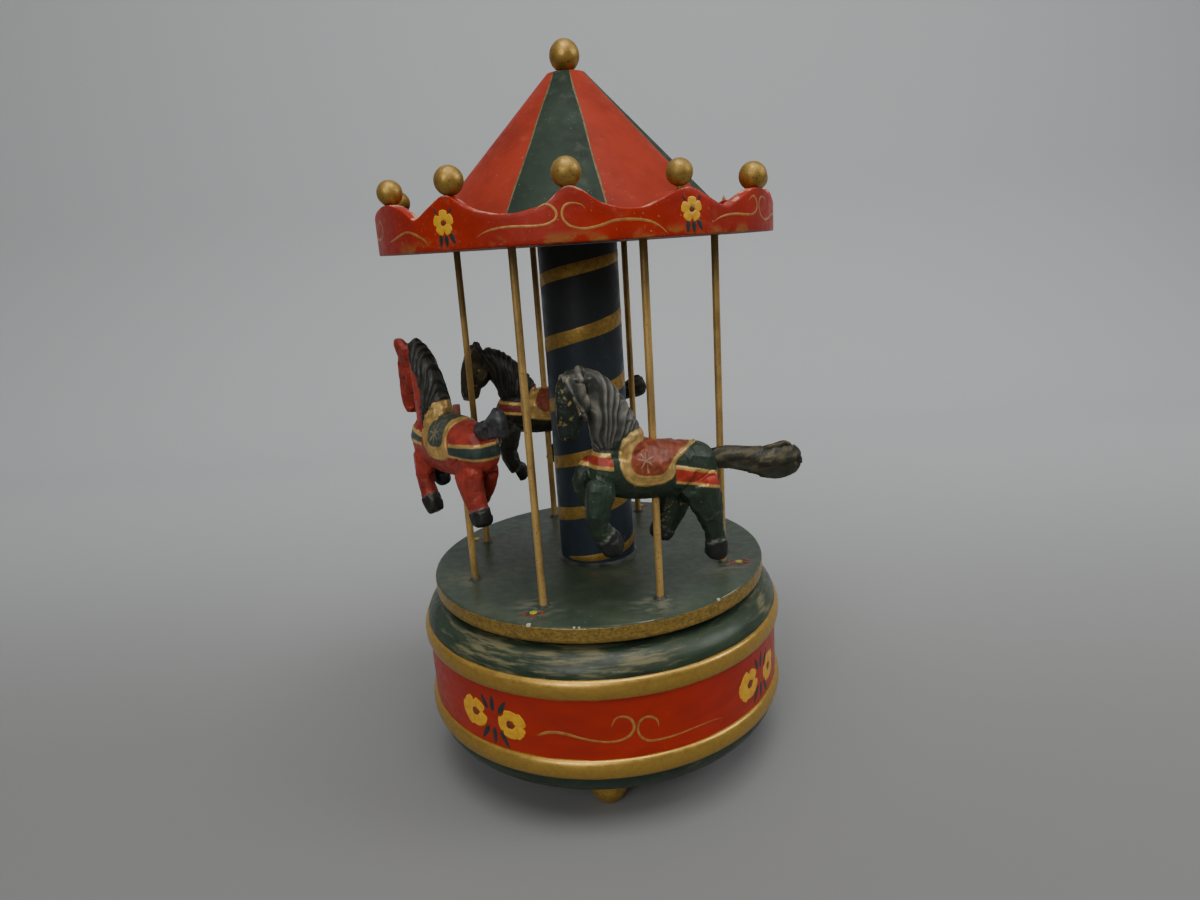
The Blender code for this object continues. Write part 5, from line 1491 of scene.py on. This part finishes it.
def carve_tail(name, horse):
    """A separate peg: round at the root and flared like a fish's tail, with a few broad cuts along it."""
    tail = carve_whole(name + "_tail_carving", [rough_out(horse["tail"])], 3)
    points, normals = points_of(tail), normals_of(tail)
    whittle(points, normals, np.ones(len(points)), TAIL_CUTS, 0.37, 0.15, 0.35)
    rows = np.array(horse["tail"], float)
    place = along_limb(points, horse["tail"])[1]
    middle_z, depth = (np.interp(place, np.arange(len(rows)), rows[:, k]) for k in (1, 2))
    across = (points[:, 2] - middle_z) / depth
    grow = np.clip((place - 1.0) / 2.5, 0, 1) * np.clip((len(rows) - 1.3 - place) / 1.6, 0, 1)
    swing = across * 1.05 + 0.12 * np.sin(points[:, 0] / 5.0) + 0.15
    share = swing % 1.0
    ridge = np.minimum(share / 0.35, (1 - share) / 0.65)
    relief = -grow * 1.15 * (1 - ridge) ** 1.4 + hand_wobble(points, 0.10, 8.0)
    points += normals * relief[:, None]
    put_points(tail, points)
    coat = Coat(points, horse["tail_colour"])
    streaks = grain(points * (0.2, 1.0, 1.0), 1.5)
    # Streaks on the tail's lower side: gold rubs on the green horse, a painted bluish sheen on the red one.
    rubbed = cover(-0.3 - across, 1.4) * cover(0.05 - streaks, 0.4)
    rubbed = rubbed * cover(place - 6.6, 1.2) * (0.25 + 0.75 * ridge)
    coat.lay(rubbed * horse["tail_rub_and_sheen"][0], horse["tail_rub_and_sheen"][1], 0.3)
    # Painted highlight along the tail's ridges, with dust.
    coat.lay(0.22 * ridge ** 3, HORSE_PAINT["dust_and_highlight"])
    coat.keep(tail)
    return tail


def stand(piece, horse):
    """Sets a carved piece on its horse's pole."""
    take(piece)
    turned = Matrix.Rotation(math.radians(horse["heading"]), 4, "Z")
    piece.matrix_world = Matrix.Translation(polar(POLE_CIRCLE, horse["pole"], horse["belly"])) @ turned
    bpy.ops.object.transform_apply(location=True, rotation=True, scale=True)
    bpy.ops.object.shade_smooth()


SLOTS = {"green_horse": "green_paint", "red_horse": "red_paint", "black_horse": "black_paint"}
for name, horse in HORSES.items():
    body = carve_horse(name, horse)
    stand(body, horse)
    settle(body, "turntable", SLOTS[name], HORSE_FINISH, name + "_body")
    tail = carve_tail(name, horse)
    stand(tail, horse)
    settle(tail, "turntable", "black_paint", HORSE_FINISH, name + "_tail")

# Table and backdrop
# The carousel stands on a plain grey sheet that rises softly behind it; its grey is painted darker in
# front and lighter behind, as painted shade and light. Not part of the object.
SHEET_NEAR_PAINTED_SHADE = (0.188, 0.190, 0.183)
SHEET_FAR_PAINTED_LIGHT = (0.528, 0.538, 0.545)
SHEET_RISE = (-150.0, 600.0)
SWEEP_START = 0.55
SWEEP_RADIUS = 0.30
SWEEP_HEIGHT = 1.3
SWEEP_HALF_WIDTH = 2.2
SWEEP_STEPS = 16


def sheet_finish():
    finish = Finish("studio_sheet", 0.8)
    # Painted shade and light: darker near the carousel, lighter up the sweep behind it.
    return finish.done(finish.mix(finish.over(finish.axes[1], SHEET_RISE), SHEET_NEAR_PAINTED_SHADE, SHEET_FAR_PAINTED_LIGHT))


deselect()
bpy.ops.mesh.primitive_plane_add(size=2 * SWEEP_HALF_WIDTH, location=(0, SWEEP_START - SWEEP_HALF_WIDTH, 0))
sheet = bpy.context.object
sheet.name = sheet.data.name = "studio_sheet"
bpy.ops.object.mode_set(mode="EDIT")
bpy.ops.mesh.select_all(action="DESELECT")
bpy.ops.object.mode_set(mode="OBJECT")
for edge in sheet.data.edges:
    edge.select = all(sheet.data.vertices[v].co.y > 0 for v in edge.vertices)
bpy.ops.object.mode_set(mode="EDIT")
bpy.ops.mesh.select_mode(type="EDGE")
for step in range(SWEEP_STEPS):
    before, after = (math.pi / 2 * k / SWEEP_STEPS for k in (step, step + 1))
    back, up = math.sin(after) - math.sin(before), math.cos(before) - math.cos(after)
    move = (0, SWEEP_RADIUS * back, SWEEP_RADIUS * up)
    bpy.ops.mesh.extrude_edges_move(TRANSFORM_OT_translate={"value": move})
bpy.ops.mesh.extrude_edges_move(TRANSFORM_OT_translate={"value": (0, 0, SWEEP_HEIGHT)})
bpy.ops.object.mode_set(mode="OBJECT")
bpy.ops.object.transform_apply(location=True, rotation=True, scale=True)
bpy.ops.object.shade_smooth()
sheet.data.materials.append(sheet_finish())

# Light and camera
# Soft light from above and in front, as from a bright room, and the camera where the photograph was
# taken.
ROOM_LOW = (0.10, 0.10, 0.10)
ROOM_HIGH = (0.42, 0.425, 0.43)
LIGHTS = {
    "overhead": ((0.05, -0.35, 1.25), 0.9, 9.5, (1.0, 0.99, 0.97)),
    "front": ((-0.45, -1.15, 0.70), 0.7, 6.0, (1.0, 1.0, 1.0)),
    "right": ((1.00, -0.20, 0.75), 0.6, 4.5, (0.97, 0.98, 1.0)),
}
AIM = Vector((0, 0, 0.14))
SENSOR_WIDTH = 36
FOCAL_LENGTH = 23.626
CAMERA_PLACE = (0, -0.339744, 0.223334)
CAMERA_PAN, CAMERA_DIP, CAMERA_ROLL = -0.661, 14.449, -3.747
room = bpy.data.worlds.new("room")
bpy.context.scene.world = room
room.use_nodes = True
room_nodes = room.node_tree.nodes
look = room_nodes.new("ShaderNodeTexCoord")
height_of = room_nodes.new("ShaderNodeSeparateXYZ")
shade = room_nodes.new("ShaderNodeMix")
shade.data_type = "RGBA"
shade.inputs[6].default_value = (*ROOM_LOW, 1)
shade.inputs[7].default_value = (*ROOM_HIGH, 1)
room.node_tree.links.new(look.outputs["Generated"], height_of.inputs[0])
room.node_tree.links.new(height_of.outputs[2], shade.inputs[0])
room.node_tree.links.new(shade.outputs[2], room_nodes["Background"].inputs[0])
room_nodes["Background"].inputs[1].default_value = 1.0
for name, (place, size, power, colour) in LIGHTS.items():
    light = bpy.data.lights.new(name, "AREA")
    light.shape = "DISK"
    light.size = size
    light.energy = power
    light.color = colour
    lamp = bpy.data.objects.new(name, light)
    bpy.context.scene.collection.objects.link(lamp)
    lamp.location = place
    lamp.rotation_euler = (AIM - Vector(place)).to_track_quat("-Z", "Y").to_euler()

lens = bpy.data.cameras.new("photo_camera")
lens.sensor_width = SENSOR_WIDTH
lens.lens = FOCAL_LENGTH
lens.clip_start = 0.01
camera = bpy.data.objects.new("photo_camera", lens)
bpy.context.scene.collection.objects.link(camera)
stance = Matrix.Translation(CAMERA_PLACE)
for angle, axis in ((CAMERA_PAN, "Z"), (90 - CAMERA_DIP, "X"), (CAMERA_ROLL, "Z")):
    stance = stance @ Matrix.Rotation(math.radians(angle), 4, axis)
camera.matrix_world = stance
bpy.context.scene.camera = camera
